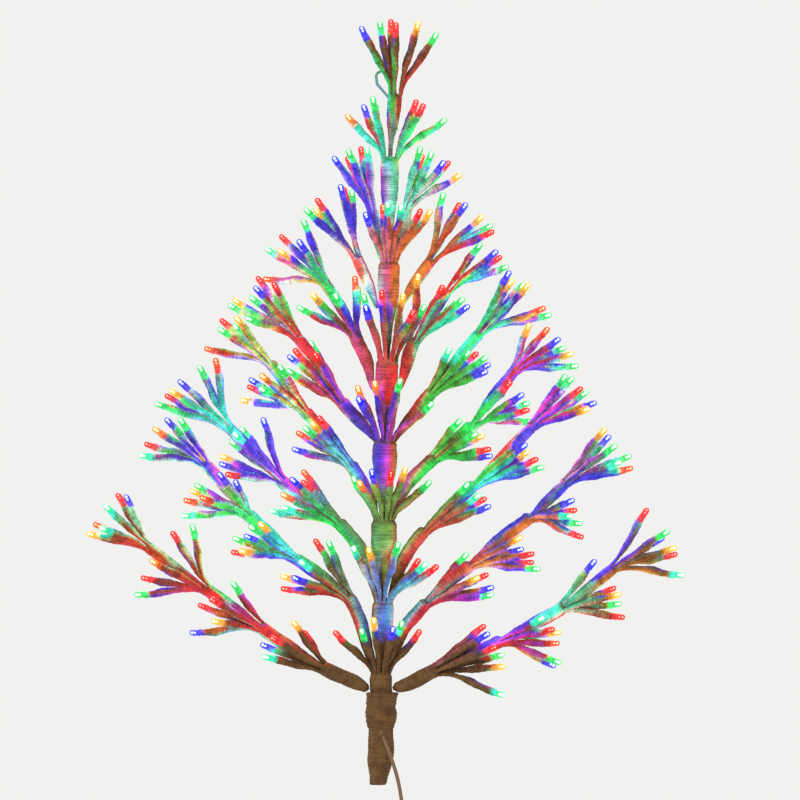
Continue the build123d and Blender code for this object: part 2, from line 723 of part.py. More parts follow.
coil_end = coil_start + Vector(0, coil_depth, 0)
tail_end = coil_end - Vector(0, 0, tail_length)
with BuildPart() as lead:
    with BuildLine() as lead_line:
        FilletPolyline(*lead_route, radius=bend_radii())
        TangentArc(coil_start, coil_knots()[0], tangent=(0, 0, -1))
        for start, middle, end in coil_arcs():
            ThreePointArc(start, middle, end)
        TangentArc(coil_knots()[-1], coil_end, tangent=(1, 0, 0))
        Line(coil_end, tail_end)
    with BuildSketch(Plane(origin=lead_line.line @ 0, z_dir=lead_line.line % 0)):
        Circle(lead_width / 2)
    sweep(path=lead_line.wire())
lead.part.label = "lead"
export_step(lead.part, "parts/lead.step")


def turn_gap():
    """The least gap between two parts of the coil, measured on points."""
    points = []
    for start, middle, end in coil_arcs():
        centre = (start + end) * 0.5
        out, along = middle - centre, end - centre
        points += [centre + out * sin(pi * s / 30) - along * cos(pi * s / 30) for s in range(30)]
    points += [coil_start + (lead_route[-2] - coil_start) * (s / 20) for s in range(20)]
    points += [coil_end + (tail_end - coil_end) * (s / 30) for s in range(30)]
    least = coil_width
    for index, point in enumerate(points):
        for other in points[index + 1:]:
            gap = (point - other).length - lead_width
            if abs(other.Y - point.Y) > coil_pitch / 2 and gap < least:
                least = gap
    return least


print("lead length", round(lead_line.wire().length), "mm")
print("radii of its bends", [round(radius) for radius in bend_radii()], "mm")
print("least gap of the lead to itself", round(turn_gap(), 2), "mm")

# A tie round the coil, on the side away from the free run
tie_plane = Plane(origin=coil_middle + Vector(-coil_width / 2, coil_depth / 2, -tie_height / 2))
with BuildPart() as lead_tie:
    with BuildSketch(tie_plane):
        RectangleRounded(
            lead_width + 2 * (lead_clearance + tie_thickness),
            coil_depth + lead_width + 2 * (lead_clearance + tie_thickness),
            tie_thickness + lead_clearance,
        )
        Rectangle(
            lead_width + 2 * lead_clearance,
            coil_depth + lead_width + 2 * lead_clearance,
            mode=Mode.SUBTRACT,
        )
    extrude(amount=tie_height)
lead_tie.part.label = "lead_tie"
export_step(lead_tie.part, "parts/lead_tie.step")

# The low-voltage plug: a round body that tapers to the lead, and its barrel
plug_plane = Plane(origin=tail_end + Vector(0, 0, plug_bore_depth - wrap_gap), x_dir=(1, 0, 0), z_dir=(0, 0, -1))
with BuildPart() as plug_body:
    with BuildSketch(plug_plane):
        Circle(plug_neck_width / 2)
    with BuildSketch(plug_plane.offset(plug_bore_depth)):
        Circle(plug_width / 2)
    loft()
    with BuildSketch(plug_plane.offset(plug_bore_depth)):
        Circle(plug_width / 2)
    extrude(amount=plug_length - plug_bore_depth)
    with BuildSketch(plug_plane):
        Circle(lead_width / 2 + wrap_gap)
    extrude(amount=plug_bore_depth, mode=Mode.SUBTRACT)
    with BuildSketch(plug_plane.offset(plug_length)):
        Circle(barrel_root_width / 2 + wrap_gap)
    extrude(amount=-barrel_root_length - wrap_gap, mode=Mode.SUBTRACT)
plug_body.part.label = "plug_body"
export_step(plug_body.part, "parts/plug_body.step")

with BuildPart() as plug_barrel:
    with BuildSketch(plug_plane.offset(plug_length - barrel_root_length)):
        Circle(barrel_root_width / 2)
    extrude(amount=barrel_root_length + barrel_seat_gap)
    with BuildSketch(plug_plane.offset(plug_length + barrel_seat_gap)):
        Circle(barrel_width / 2)
    extrude(amount=barrel_length - barrel_seat_gap)
    with BuildSketch(plug_plane.offset(plug_length + barrel_length)):
        Circle(barrel_bore / 2)
    extrude(amount=-barrel_length, mode=Mode.SUBTRACT)
plug_barrel.part.label = "plug_barrel"
export_step(plug_barrel.part, "parts/plug_barrel.step")
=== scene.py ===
"""Dresses the wall tree: crinkled paper tape, coloured lights, lead and hanging loop."""

import json
import logging
import math
from dataclasses import dataclass, field
from enum import Enum

import bmesh
import bpy
import numpy as np
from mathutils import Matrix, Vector
from mathutils.bvhtree import BVHTree

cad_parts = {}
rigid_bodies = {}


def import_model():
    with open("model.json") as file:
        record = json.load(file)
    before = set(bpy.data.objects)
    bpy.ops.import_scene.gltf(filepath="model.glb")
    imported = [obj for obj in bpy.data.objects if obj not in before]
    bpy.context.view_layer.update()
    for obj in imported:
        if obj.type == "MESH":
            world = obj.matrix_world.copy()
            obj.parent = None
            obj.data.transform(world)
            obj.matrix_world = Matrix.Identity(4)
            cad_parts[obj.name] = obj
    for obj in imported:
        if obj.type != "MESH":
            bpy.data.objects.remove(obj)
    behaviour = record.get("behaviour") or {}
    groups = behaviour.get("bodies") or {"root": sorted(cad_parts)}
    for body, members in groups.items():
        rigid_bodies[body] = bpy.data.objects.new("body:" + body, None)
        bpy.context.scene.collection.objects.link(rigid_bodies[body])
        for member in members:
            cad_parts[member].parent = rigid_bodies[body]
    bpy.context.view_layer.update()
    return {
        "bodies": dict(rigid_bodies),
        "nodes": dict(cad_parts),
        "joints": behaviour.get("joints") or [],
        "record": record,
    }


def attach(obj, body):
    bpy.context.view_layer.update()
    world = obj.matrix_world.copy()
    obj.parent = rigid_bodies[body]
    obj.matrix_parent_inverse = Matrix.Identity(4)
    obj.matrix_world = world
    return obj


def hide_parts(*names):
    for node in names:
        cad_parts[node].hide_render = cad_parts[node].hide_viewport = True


LOG = logging.getLogger("wall_tree")
MM = 0.001

# The photograph's frame: 800 pixels a side, what one of them shows of the tree, and where
# the trunk and the hook stand in it
PHOTO_PIXELS = 800
PIXEL = 610.0 * MM / 763
TRUNK_PIXEL = 384
HOOK_PIXEL = 71

# A light further than this from the table, in pixels, is reported
ASTRAY_PIXELS = 1.5

# A tape's U runs once over this length
UV_LENGTH = 100 * MM


def linear(code: str) -> tuple[float, float, float, float]:
    """Turn an sRGB hex colour into linear values.

    Args:
        code: The colour, as "#RRGGBB".

    Returns:
        Linear red, green, blue and an alpha of 1.
    """
    parts = [int(code[place:place + 2], 16) / 255 for place in (1, 3, 5)]
    steps = [part / 12.92 if part <= 0.04045 else ((part + 0.055) / 1.055) ** 2.4 for part in parts]
    return (*steps, 1.0)


class Hue(Enum):
    """A light's lens colour, core colour, core size, power, and the colour of the tape that it lights."""

    RED = ("#FF1206", "#FFC8B8", 0.6, 0.85, "#FF3C5A")
    GREEN = ("#00D850", "#E4FFF0", 1.1, 0.95, "#3CE678")
    BLUE = ("#1422FF", "#D4DEFF", 1.0, 2.1, "#6950FF")
    AMBER = ("#FF8A00", "#FFF4C8", 1.0, 0.75, "#FF8232")
    YELLOW = ("#FFB800", "#FFFADC", 1.0, 0.75, "#FFAA50")
    ORANGE = ("#FF4A06", "#FFDCA8", 0.75, 0.75, "#FF5028")
    MINT = ("#14F090", "#FFFFFF", 1.2, 1.2, "#5AFFD2")

    def __init__(self, lens: str, core: str, core_size: float, power: float, thrown: str) -> None:
        """Keep the values by name, with the colours made linear."""
        self.lens, self.core, self.thrown = linear(lens), linear(core), linear(thrown)
        self.core_size, self.power = core_size, power


# Each light's place in the photograph, by hue
LIGHT_PIXELS = {
    Hue.RED: (
        (391, 22), (396, 27), (416, 102), (423, 107), (361, 149), (348, 159), (448, 163),
        (344, 190), (318, 201), (459, 205), (420, 213), (491, 233), (282, 237), (499, 258),
        (259, 279), (275, 285), (442, 288), (382, 293), (413, 313), (223, 321), (296, 351),
        (476, 354), (316, 355), (509, 383), (250, 387), (579, 389), (396, 393), (168, 396),
        (526, 410), (320, 418), (148, 444), (488, 449), (535, 459), (391, 473), (229, 474),
        (304, 482), (120, 495), (484, 499), (574, 510), (645, 510), (174, 533), (580, 536),
        (316, 541), (234, 552), (531, 553), (674, 554), (418, 560), (531, 562), (436, 566),
        (486, 575), (145, 577), (284, 588), (613, 588), (213, 598), (201, 605), (621, 616),
        (483, 626), (551, 628), (419, 631), (336, 632), (305, 633), (273, 637), (494, 646),
    ),
    Hue.GREEN: (
        (380, 24), (436, 35), (373, 100), (444, 121), (420, 150), (349, 153), (431, 155),
        (352, 192), (443, 195), (307, 211), (304, 222), (490, 226), (480, 245), (506, 267),
        (523, 285), (358, 289), (336, 296), (364, 297), (252, 298), (462, 300), (456, 303),
        (231, 306), (424, 307), (300, 308), (549, 315), (249, 319), (235, 326), (222, 330),
        (311, 343), (563, 348), (468, 353), (485, 358), (575, 366), (281, 367), (201, 368),
        (289, 371), (564, 377), (571, 379), (400, 381), (262, 389), (585, 393), (527, 403),
        (159, 404), (431, 404), (182, 420), (459, 421), (532, 421), (306, 428), (242, 429),
        (475, 434), (311, 438), (232, 442), (613, 446), (628, 456), (541, 467), (354, 478),
        (429, 482), (467, 484), (198, 485), (579, 523), (194, 526), (252, 526), (665, 531),
        (236, 538), (329, 542), (398, 543), (466, 555), (537, 568), (234, 583), (138, 594),
        (491, 595), (618, 603), (402, 622), (362, 629), (502, 655), (558, 661),
    ),
    Hue.YELLOW: (
        (418, 25), (459, 176), (316, 210), (430, 213), (481, 218), (281, 252),
        (418, 277), (511, 282), (527, 286), (313, 295), (403, 296), (236, 301), (238, 319),
        (528, 326), (570, 354), (297, 379), (173, 391), (243, 400), (586, 409), (313, 423),
        (603, 430), (482, 436), (527, 452), (223, 456), (405, 469), (193, 491), (262, 523),
        (91, 533), (519, 537), (672, 547), (369, 548), (242, 550), (283, 576), (477, 577),
        (617, 593), (374, 618), (215, 620), (294, 622), (558, 632), (503, 666),
    ),
    Hue.BLUE: (
        (362, 30), (364, 107), (335, 160), (443, 164), (341, 188), (465, 206), (366, 216),
        (300, 243), (495, 253), (508, 274), (257, 289), (320, 305), (467, 307), (366, 308),
        (557, 340), (290, 357), (488, 365), (485, 372), (252, 380), (181, 382), (521, 395),
        (359, 399), (593, 403), (168, 420), (264, 420), (608, 437), (524, 445), (295, 449),
        (490, 456), (222, 464), (372, 471), (221, 474), (293, 479), (236, 482), (127, 497),
        (571, 500), (488, 506), (247, 536), (661, 538), (521, 549), (593, 561), (161, 567),
        (295, 577), (491, 587), (393, 627), (193, 632), (487, 633), (263, 645), (553, 665),
    ),
    Hue.MINT: (
        (367, 150), (388, 206), (401, 208), (268, 250), (449, 350), (236, 434), (143, 455),
        (617, 462), (478, 495), (108, 506), (284, 507), (272, 511), (185, 515), (569, 515),
        (104, 527), (354, 547), (302, 561), (425, 563), (680, 574), (541, 617), (265, 656),
        (502, 694),
    ),
    Hue.AMBER: (
        (348, 117), (263, 376), (375, 383), (358, 388), (157, 429), (360, 482), (284, 494),
        (154, 560),
    ),
    Hue.ORANGE: (
        (422, 157), (383, 208), (266, 279), (355, 279), (542, 309), (546, 330), (208, 349), (217, 361),
        (299, 433), (629, 468), (304, 472), (204, 497), (187, 500), (97, 524), (556, 642),
    ),
}


def add_node(tree: bpy.types.NodeTree, kind: str, settings: dict | None = None,
             links: dict | None = None) -> bpy.types.Node:
    """Add a shader node with its settings and the links that feed it.

    Args:
        tree: The material's node tree.
        kind: Blender's name for the node type, without its "ShaderNode".
        settings: Attributes, or input sockets by name or number, and their values.
        links: Input sockets by name or number, and the output socket that feeds each.

    Returns:
        The new node.
    """
    node = tree.nodes.new("ShaderNode" + kind)
    for key, value in (settings or {}).items():
        if isinstance(key, int) or key in node.inputs:
            node.inputs[key].default_value = value
        else:
            setattr(node, key, value)
    for key, socket in (links or {}).items():
        tree.links.new(socket, node.inputs[key])
    return node


def new_material(name: str, settings: dict
                 ) -> tuple[bpy.types.Material, bpy.types.NodeTree, bpy.types.Node]:
    """Make a material with a principled shader.

    Args:
        name: The material's name.
        settings: The shader's inputs and their values.

    Returns:
        The material, its node tree and its shader.
    """
    material = bpy.data.materials.new(name)
    material.use_nodes = True
    # Only the studio's lamps are sampled as light, so the glow doesn't hide them
    material.cycles.emission_sampling = "NONE"
    tree = material.node_tree
    tree.nodes.clear()
    shader = add_node(tree, "BsdfPrincipled", settings)
    add_node(tree, "OutputMaterial", links={"Surface": shader.outputs["BSDF"]})
    return material, tree, shader


def two_tone(tree: bpy.types.NodeTree, factor: bpy.types.NodeSocket, shade: str, light: str,
             stops: tuple[float, float]) -> bpy.types.NodeSocket:
    """Blend a material's dark and light tone by a pattern.

    Args:
        tree: The material's node tree.
        factor: The pattern's output.
        shade: The dark tone.
        light: The light tone.
        stops: Where in the pattern's range each tone is reached.

    Returns:
        The blended colour.
    """
    ramp = add_node(tree, "ValToRGB", links={0: factor})
    for element, position, tone in zip(ramp.color_ramp.elements, stops, (shade, light)):
        element.position, element.color = position, linear(tone)
    return ramp.outputs["Color"]


@dataclass(frozen=True)
class PaperTape:
    """Crepe paper tape, wound wet with glue round wire and left to dry.

    The crepe gives fine ribs across the tape, so a wound stem shows fine rings
    with a dry, matt, slightly fibrous face. The colour it takes from every lamp is painted on as emission
    from its glow attribute, with painted shading from the crinkle pattern, and its base colour is painted
    darker where that glow is strong.
    Ribs and fibres are drawn coarser than the real ones, so that they show.
    """

    name: str = "brown_crepe_paper_tape"
    light: str = "#785733"
    shade: str = "#543A1F"
    tone_stops: tuple[float, float] = (0.42, 0.58)
    rib_spacing: float = 1.5 * MM
    rib_wave: float = 3.0
    blotch_size: float = 9 * MM
    fibre_size: float = 1.1 * MM
    crease_size: float = 1.4 * MM
    creases_round: float = 3.0
    # How much fibre, crease and rib add to the blotches
    fibre_share: float = 0.5
    crease_share: float = 0.8
    rib_share: float = 0.07
    depth: float = 0.9 * MM
    bump: float = 0.9
    roughness: float = 0.86
    specular: float = 0.25
    # The pattern's range, and how dim and bright the painted glow is there, as painted shading of the
    # crinkles
    relief: tuple[float, float, float, float] = (0.41, 0.59, 0.45, 1.35)
    # The glow at which the paper's own colour is painted dark under the painted light, and what is left of it
    drowned_at: float = 0.7
    drowned_share: float = 0.06

    def build(self) -> bpy.types.Material:
        """Make the material."""
        material, tree, shader = new_material(self.name, {
            "Roughness": self.roughness, "Specular IOR Level": self.specular, "Emission Strength": 1.0})
        place = add_node(tree, "TexCoord").outputs["Object"]
        uv = add_node(tree, "UVMap", {"uv_map": "tape"}).outputs["UV"]
        split = add_node(tree, "SeparateXYZ", links={0: uv})
        blotch = add_node(tree, "TexNoise", {"Scale": 1 / self.blotch_size, "Detail": 3.0},
                          {"Vector": place}).outputs["Fac"]
        fibre = add_node(tree, "TexNoise", {"Scale": 1 / self.fibre_size, "Detail": 2.0},
                         {"Vector": place}).outputs["Fac"]
        along = add_node(tree, "Math", {"operation": "MULTIPLY_ADD", 1: UV_LENGTH / self.rib_spacing},
                         {0: split.outputs["X"], 2: split.outputs["Y"]})
        wavy = add_node(tree, "Math", {"operation": "MULTIPLY_ADD", 1: self.rib_wave},
                        {0: blotch, 2: along.outputs[0]})
        turned = add_node(tree, "Math", {"operation": "MULTIPLY", 1: math.tau}, {0: wavy.outputs[0]})
        rib = add_node(tree, "Math", {"operation": "SINE"}, {0: turned.outputs[0]})
        stretch = (UV_LENGTH / self.crease_size, self.creases_round, 0)
        across = add_node(tree, "VectorMath", {"operation": "MULTIPLY", 1: stretch}, {0: uv})
        crease = add_node(tree, "TexNoise", {"Scale": 1.0, "Detail": 2.0},
                          {"Vector": across.outputs["Vector"]})
        tone = blotch
        for share, layer in ((self.fibre_share, fibre), (self.crease_share, crease.outputs["Fac"]),
                             (self.rib_share, rib.outputs[0])):
            tone = add_node(tree, "Math", {"operation": "MULTIPLY_ADD", 1: share},
                            {0: layer, 2: tone}).outputs[0]
        whole = 1 + self.fibre_share + self.crease_share
        even = add_node(tree, "Math", {"operation": "MULTIPLY", 1: 1 / whole}, {0: tone}).outputs[0]
        colour = two_tone(tree, even, self.shade, self.light, self.tone_stops)
        bump = add_node(tree, "Bump", {"Strength": self.bump, "Distance": self.depth}, {"Height": even})
        # Painted light: the lights' colour, stored at each point as the glow attribute and used as emission
        glow = add_node(tree, "Attribute", {"attribute_name": "glow"}).outputs["Color"]
        ends = dict(zip(("From Min", "From Max", "To Min", "To Max"), self.relief))
        # Painted shading: the crinkle pattern makes the painted glow dimmer and brighter
        relief = add_node(tree, "MapRange", ends, {"Value": even})
        lit = add_node(tree, "VectorMath", {"operation": "SCALE"},
                       {0: glow, "Scale": relief.outputs["Result"]})
        # Painted shade in the base colour: the paper is darkened where the painted glow is strong
        amount = add_node(tree, "VectorMath", {"operation": "LENGTH"}, {0: glow}).outputs["Value"]
        drowned = add_node(tree, "MapRange",
                           {"From Max": self.drowned_at, "To Min": 1.0, "To Max": self.drowned_share},
                           {"Value": amount})
        paper = add_node(tree, "VectorMath", {"operation": "SCALE"},
                         {0: colour, "Scale": drowned.outputs["Result"]})
        tree.links.new(paper.outputs["Vector"], shader.inputs["Base Color"])
        tree.links.new(bump.outputs["Normal"], shader.inputs["Normal"])
        tree.links.new(lit.outputs["Vector"], shader.inputs["Emission Color"])
        return material


@dataclass(frozen=True)
class LitPart:
    """A part of a light that shines in the colour stored at its points."""

    name: str
    strength: float
    roughness: float
    alpha: float
    tint: float

    def build(self) -> bpy.types.Material:
        """Make the material."""
        material, tree, shader = new_material(self.name, {
            "Roughness": self.roughness, "Alpha": self.alpha, "Emission Strength": self.strength})
        colour = add_node(tree, "Attribute", {"attribute_name": "glow"}).outputs["Color"]
        dim = add_node(tree, "VectorMath", {"operation": "SCALE", "Scale": self.tint}, {0: colour})
        tree.links.new(dim.outputs["Vector"], shader.inputs["Base Color"])
        tree.links.new(colour, shader.inputs["Emission Color"])
        return material


# Clear cast epoxy, tinted by the diode inside: smooth and glossy, lit through in one even colour
LENS = LitPart("cast_epoxy_lens", strength=0.9, roughness=0.12, alpha=0.8, tint=0.2)
# The lit diode and the spot that the dome gathers: too bright for their colour to show
DIODE = LitPart("lit_diode", strength=6.0, roughness=0.5, alpha=1.0, tint=1.0)


@dataclass(frozen=True)
class Moulded:
    """A moulded plastic, rubber or metal, with its fine grain drawn coarse enough to show, and the lights'
    glow painted on as emission where it has a glow strength.
    """

    name: str
    light: str
    shade: str
    roughness: float
    metallic: float = 0.0
    # Strength of the painted light: emission from the glow attribute
    glow: float = 0.0
    grain: float = 1.2 * MM
    depth: float = 0.05 * MM
    bump: float = 0.3
    tone_stops: tuple[float, float] = (0.35, 0.65)

    def build(self) -> bpy.types.Material:
        """Make the material."""
        material, tree, shader = new_material(self.name, {
            "Roughness": self.roughness, "Metallic": self.metallic, "Emission Strength": self.glow})
        place = add_node(tree, "TexCoord").outputs["Object"]
        noise = add_node(tree, "TexNoise", {"Scale": 1 / self.grain, "Detail": 4.0},
                         {"Vector": place}).outputs["Fac"]
        bump = add_node(tree, "Bump", {"Strength": self.bump, "Distance": self.depth}, {"Height": noise})
        # Painted light: the stored glow colour is emitted
        if self.glow:
            glow = add_node(tree, "Attribute", {"attribute_name": "glow"}).outputs["Color"]
            tree.links.new(glow, shader.inputs["Emission Color"])
        colour = two_tone(tree, noise, self.shade, self.light, self.tone_stops)
        tree.links.new(colour, shader.inputs["Base Color"])
        tree.links.new(bump.outputs["Normal"], shader.inputs["Normal"])
        return material


# Bright drawn steel, softened so that it stays where it is bent: a dull grey sheen
STEEL = Moulded("annealed_steel_wire", "#8A8A88", "#6C6C6A", 0.45, metallic=1.0)
# Wire in a thin brown plastic coat: smooth, with a soft shine, and the tip's lights painted on it as a
# glowing emission
COATED_WIRE = Moulded("brown_coated_wire", "#5E4632", "#453223", 0.5, glow=0.7)
# Extruded soft plastic in the tape's brown: even and half matt
SLEEVE = Moulded("soft_plastic_sleeve", "#785733", "#644628", 0.6)
SHEATH = Moulded("brown_lead_sheath", "#7E5C3D", "#735337", 0.6)
# Moulded nylon and plastic, black through and through: a faint broad shine
TIE = Moulded("black_nylon_tie", "#222020", "#161514", 0.5)
PLUG = Moulded("black_moulded_plastic", "#201F1E", "#141312", 0.48)
# Bright nickel plate on turned brass: a clear mirror with a warm tinge
NICKEL = Moulded("nickel_plate", "#C9C7C2", "#B5B3AE", 0.22, metallic=1.0)


def linked(name: str, data: bpy.types.ID) -> bpy.types.Object:
    """Make an object of a mesh, curve, camera or lamp, at the origin of the scene."""
    made = bpy.data.objects.new(name, data)
    bpy.context.scene.collection.objects.link(made)
    return made


def smooth_piece(name: str, points: list[np.ndarray], faces: list[tuple[int, ...]]) -> bpy.types.Object:
    """Make a smooth mesh object.

    Args:
        name: The piece's name.
        points: Its points, in groups.
        faces: The corners of each face.

    Returns:
        The new object.
    """
    mesh = bpy.data.meshes.new(name)
    mesh.from_pydata(np.vstack(points).tolist(), [], faces)
    mesh.polygons.foreach_set("use_smooth", [True] * len(faces))
    mesh.update()
    return linked(name, mesh)


def store_glow(mesh: bpy.types.Mesh, colours: np.ndarray | list) -> None:
    """Store a linear colour with alpha at each point of a mesh, as its "glow"."""
    layer = mesh.color_attributes.new("glow", "FLOAT_COLOR", "POINT")
    layer.data.foreach_set("color", np.array(colours, dtype=np.float32).ravel())


def unit(vector: np.ndarray) -> np.ndarray:
    """Scale a vector to a length of 1."""
    return vector / np.linalg.norm(vector)


@dataclass
class Solid:
    """One closed solid of a CAD node, with its doubles merged."""

    points: np.ndarray
    edges: np.ndarray
    triangles: np.ndarray

    def widest_face(self) -> tuple[np.ndarray, np.ndarray, float]:
        """Find the largest flat face, which is a run's wide end.

        Returns:
            The face's middle, its outward normal and its radius.
        """
        a, b, c = (self.points[self.triangles[:, corner]] for corner in range(3))
        across = np.cross(b - a, c - a)
        areas = np.linalg.norm(across, axis=1)
        normals = across / np.maximum(areas, 1e-15)[:, None]
        offsets = (normals * a).sum(1)
        # Triangles are of one face where their normals and offsets round alike
        keys = np.round(np.column_stack([normals * 50, offsets / (0.05 * MM)])).astype(int)
        _, group = np.unique(keys, axis=0, return_inverse=True)
        group = group.ravel()
        chosen = group == np.argmax(np.bincount(group, areas))
        normal = unit((normals[chosen] * areas[chosen][:, None]).sum(0))
        middle, radius = fit_circle(self.points[np.unique(self.triangles[chosen])], normal)
        return middle, normal, radius


def fit_circle(points: np.ndarray, normal: np.ndarray) -> tuple[np.ndarray, float]:
    """Fit a circle to points round a run, leaving out a bore's inner ring.

    Args:
        points: Points on or near one plane.
        normal: The plane's normal.

    Returns:
        The circle's middle and its radius.
    """
    middle = (points.max(0) + points.min(0)) / 2
    side = unit(np.cross(normal, (0.0, 1.0, 0.1)))
    up = np.cross(normal, side)
    for _ in range(2):
        apart = np.linalg.norm(points - middle, axis=1)
        outer = points[apart > 0.6 * apart.max()]
        x, y = (outer - middle) @ side, (outer - middle) @ up
        rows = np.column_stack([2 * x, 2 * y, np.ones(len(x))])
        (cx, cy, rest), *_ = np.linalg.lstsq(rows, x * x + y * y, rcond=None)
        middle = middle + side * cx + up * cy
    return middle, math.sqrt(max(rest + cx * cx + cy * cy, 0.0))


def solids_of(node: bpy.types.Object) -> list[Solid]:
    """Split a CAD node's mesh into its solids.

    Args:
        node: The node's object, which is left as it is.

    Returns:
        Its solids, in the mesh's order.
    """
    mesh = bmesh.new()
    mesh.from_mesh(node.data)
    bmesh.ops.remove_doubles(mesh, verts=mesh.verts, dist=0.01 * MM)
    bmesh.ops.triangulate(mesh, faces=mesh.faces)
    points = np.array([vert.co for vert in mesh.verts])
    edges = np.array([[vert.index for vert in edge.verts] for edge in mesh.edges])
    triangles = np.array([[vert.index for vert in face.verts] for face in mesh.faces])
    mesh.free()
    labels = np.arange(len(points))
    while True:
        low = np.minimum(labels[edges[:, 0]], labels[edges[:, 1]])
        joined = labels.copy()
        np.minimum.at(joined, edges[:, 0], low)
        np.minimum.at(joined, edges[:, 1], low)
        joined = joined[joined]
        if (joined == labels).all():
            break
        labels = joined
    solids = []
    for label in np.unique(labels):
        inside = labels == label
        number = np.cumsum(inside) - 1
        solids.append(Solid(points[inside], number[edges[inside[edges[:, 0]]]],
                            number[triangles[inside[triangles[:, 0]]]]))
    return solids


@dataclass(frozen=True)
class Slicing:
    """How a run is read from its solid: its strides, and what a slice needs to count as one."""

    stride: float = 1.5 * MM
    finest: float = 0.2 * MM
    least_points: int = 8
    least_radius: float = 0.4 * MM
    # A slice's points lie within so many times the last radius, and a little more
    reach_share: float = 1.6
    reach_more: float = 1.0 * MM
    # What of its heading a run keeps from slice to slice, and the length left that ends it
    heading_share: float = 0.6
    end_left: float = 0.3 * MM


@dataclass
class Run:
    """A round run: its middle line from the narrow end to the wide one, and its radii."""

    line: np.ndarray
    radii: np.ndarray
    end_way: np.ndarray

    @classmethod
    def read(cls, solid: Solid, slicing: Slicing = Slicing()) -> "Run":
        """Read a run from its solid by slicing it from its wide end.

        Args:
            solid: The CAD solid.
            slicing: How it is sliced.

        Returns:
            The run.
        """
        place, normal, radius = solid.widest_face()
        stride, heading = slicing.stride, -normal
        line, radii = [place], [radius]
        while stride > slicing.finest:
            ahead = place + heading * stride
            side = (solid.points - ahead) @ heading
            a, b = side[solid.edges[:, 0]], side[solid.edges[:, 1]]
            cut = (a < 0) != (b < 0)
            share = (a[cut] / (a[cut] - b[cut]))[:, None]
            ends = solid.points[solid.edges[cut]]
            ring = ends[:, 0] + (ends[:, 1] - ends[:, 0]) * share
            reach = slicing.reach_share * radii[-1] + slicing.reach_more
            ring = ring[np.linalg.norm(ring - ahead, axis=1) < reach]
            if len(ring) < slicing.least_points:
                stride /= 2
                continue
            middle, radius = fit_circle(ring, heading)
            if radius < slicing.least_radius:
                stride /= 2
                continue
            step = unit(middle - place)
            heading = unit(heading * slicing.heading_share + step * (1 - slicing.heading_share))
            place = middle
            line.append(middle)
            radii.append(radius)
        left = ((solid.points - place) @ heading).max()
        if left > slicing.end_left:
            line.append(place + heading * left)
            radii.append(radii[-1])
        return cls(np.array(line[::-1]), np.array(radii[::-1]), normal)

    def smooth(self, reach: int = 4) -> None:
        """Round off the corners between the run's straight spans.

        Args:
            reach: How many slices to each side are averaged.
        """
        weights = np.exp(-0.5 * (np.arange(-reach, reach + 1) / (reach / 2)) ** 2)
        weights /= weights.sum()
        self.line = np.column_stack([self.averaged(self.line[:, axis], weights) for axis in range(3)])
        kept = min(reach, len(self.radii) // 3)
        self.radii[kept:] = self.averaged(self.radii[kept:], weights)

    def lengthen(self, reach: float) -> None:
        """Carry the narrow end straight on, by a reach, down into the whorl below."""
        way = unit(self.line[0] - self.line[3])
        self.line = np.vstack([self.line[0] + way * reach, self.line])
        self.radii = np.append(self.radii[0], self.radii)

    @staticmethod
    def averaged(values: np.ndarray, weights: np.ndarray) -> np.ndarray:
        """Average values along a run, keeping its two ends where they are."""
        reach = min(len(weights) // 2, len(values) - 1)
        middle = len(weights) // 2
        weights = weights[middle - reach:middle + reach + 1]
        weights = weights / weights.sum()
        before = 2 * values[0] - values[reach:0:-1]
        after = 2 * values[-1] - values[-2:-reach - 2:-1]
        return np.convolve(np.concatenate([before, values, after]), weights, "valid")

    def resample(self, spacing: float) -> tuple[np.ndarray, np.ndarray, np.ndarray]:
        """Spread rings evenly along the run.

        Args:
            spacing: The wanted distance between rings.

        Returns:
            The rings' middles, their radii and their places along the run.
        """
        steps = np.linalg.norm(np.diff(self.line, axis=0), axis=1)
        along = np.concatenate([[0], np.cumsum(steps)])
        count = max(int(along[-1] / spacing), 4)
        places = np.linspace(0, along[-1], count + 1)
        middles = np.column_stack([np.interp(places, along, self.line[:, axis]) for axis in range(3)])
        return middles, np.interp(places, along, self.radii), places


@dataclass(frozen=True)
class TapeStyle:
    """How tape is wound: its rings and sides, its edges' pitch and height, and the lumps of the run below."""

    sides: int
    pitch: float
    height: float
    lump_share: float
    kink: float
    spacing: float = 0.9 * MM
    kink_spacing: float = 9 * MM
    # How far an edge stands out where it starts, in its heights, and how it wavers in turns
    edge_rise: float = 0.75
    waver: float = 0.06
    # The lengths of the three waves that make the lumps
    lump_lengths: tuple[float, float, float] = (3.1 * MM, 5.3 * MM, 2.6 * MM)


TWIG_TAPE = TapeStyle(14, 5.0 * MM, 0.32 * MM, 0.22, 0.25 * MM)
STEM_TAPE = TapeStyle(28, 7.5 * MM, 0.3 * MM, 0.055, 0.12 * MM)
TRUNK_TAPE = TapeStyle(40, 9.0 * MM, 0.34 * MM, 0.03, 0.0)


@dataclass(frozen=True)
class FootShape:
    """A wrapped piece of the foot: its outline is places down the photograph and shares of a width."""

    outline: tuple[tuple[float, float], ...]
    width: float
    pitch: float
    fold: float
    lump: float
    # Rings above the outline, as a share of the ring below and a rise
    top: tuple[tuple[float, float], ...]
    # How far it leans in each pixel above a place
    lean: float = 0.0
    lean_from: float = 0.0
    sides: int = 48
    spacing: float = 0.8 * MM
    lump_lengths: tuple[float, float] = (6 * MM, 3.4 * MM)


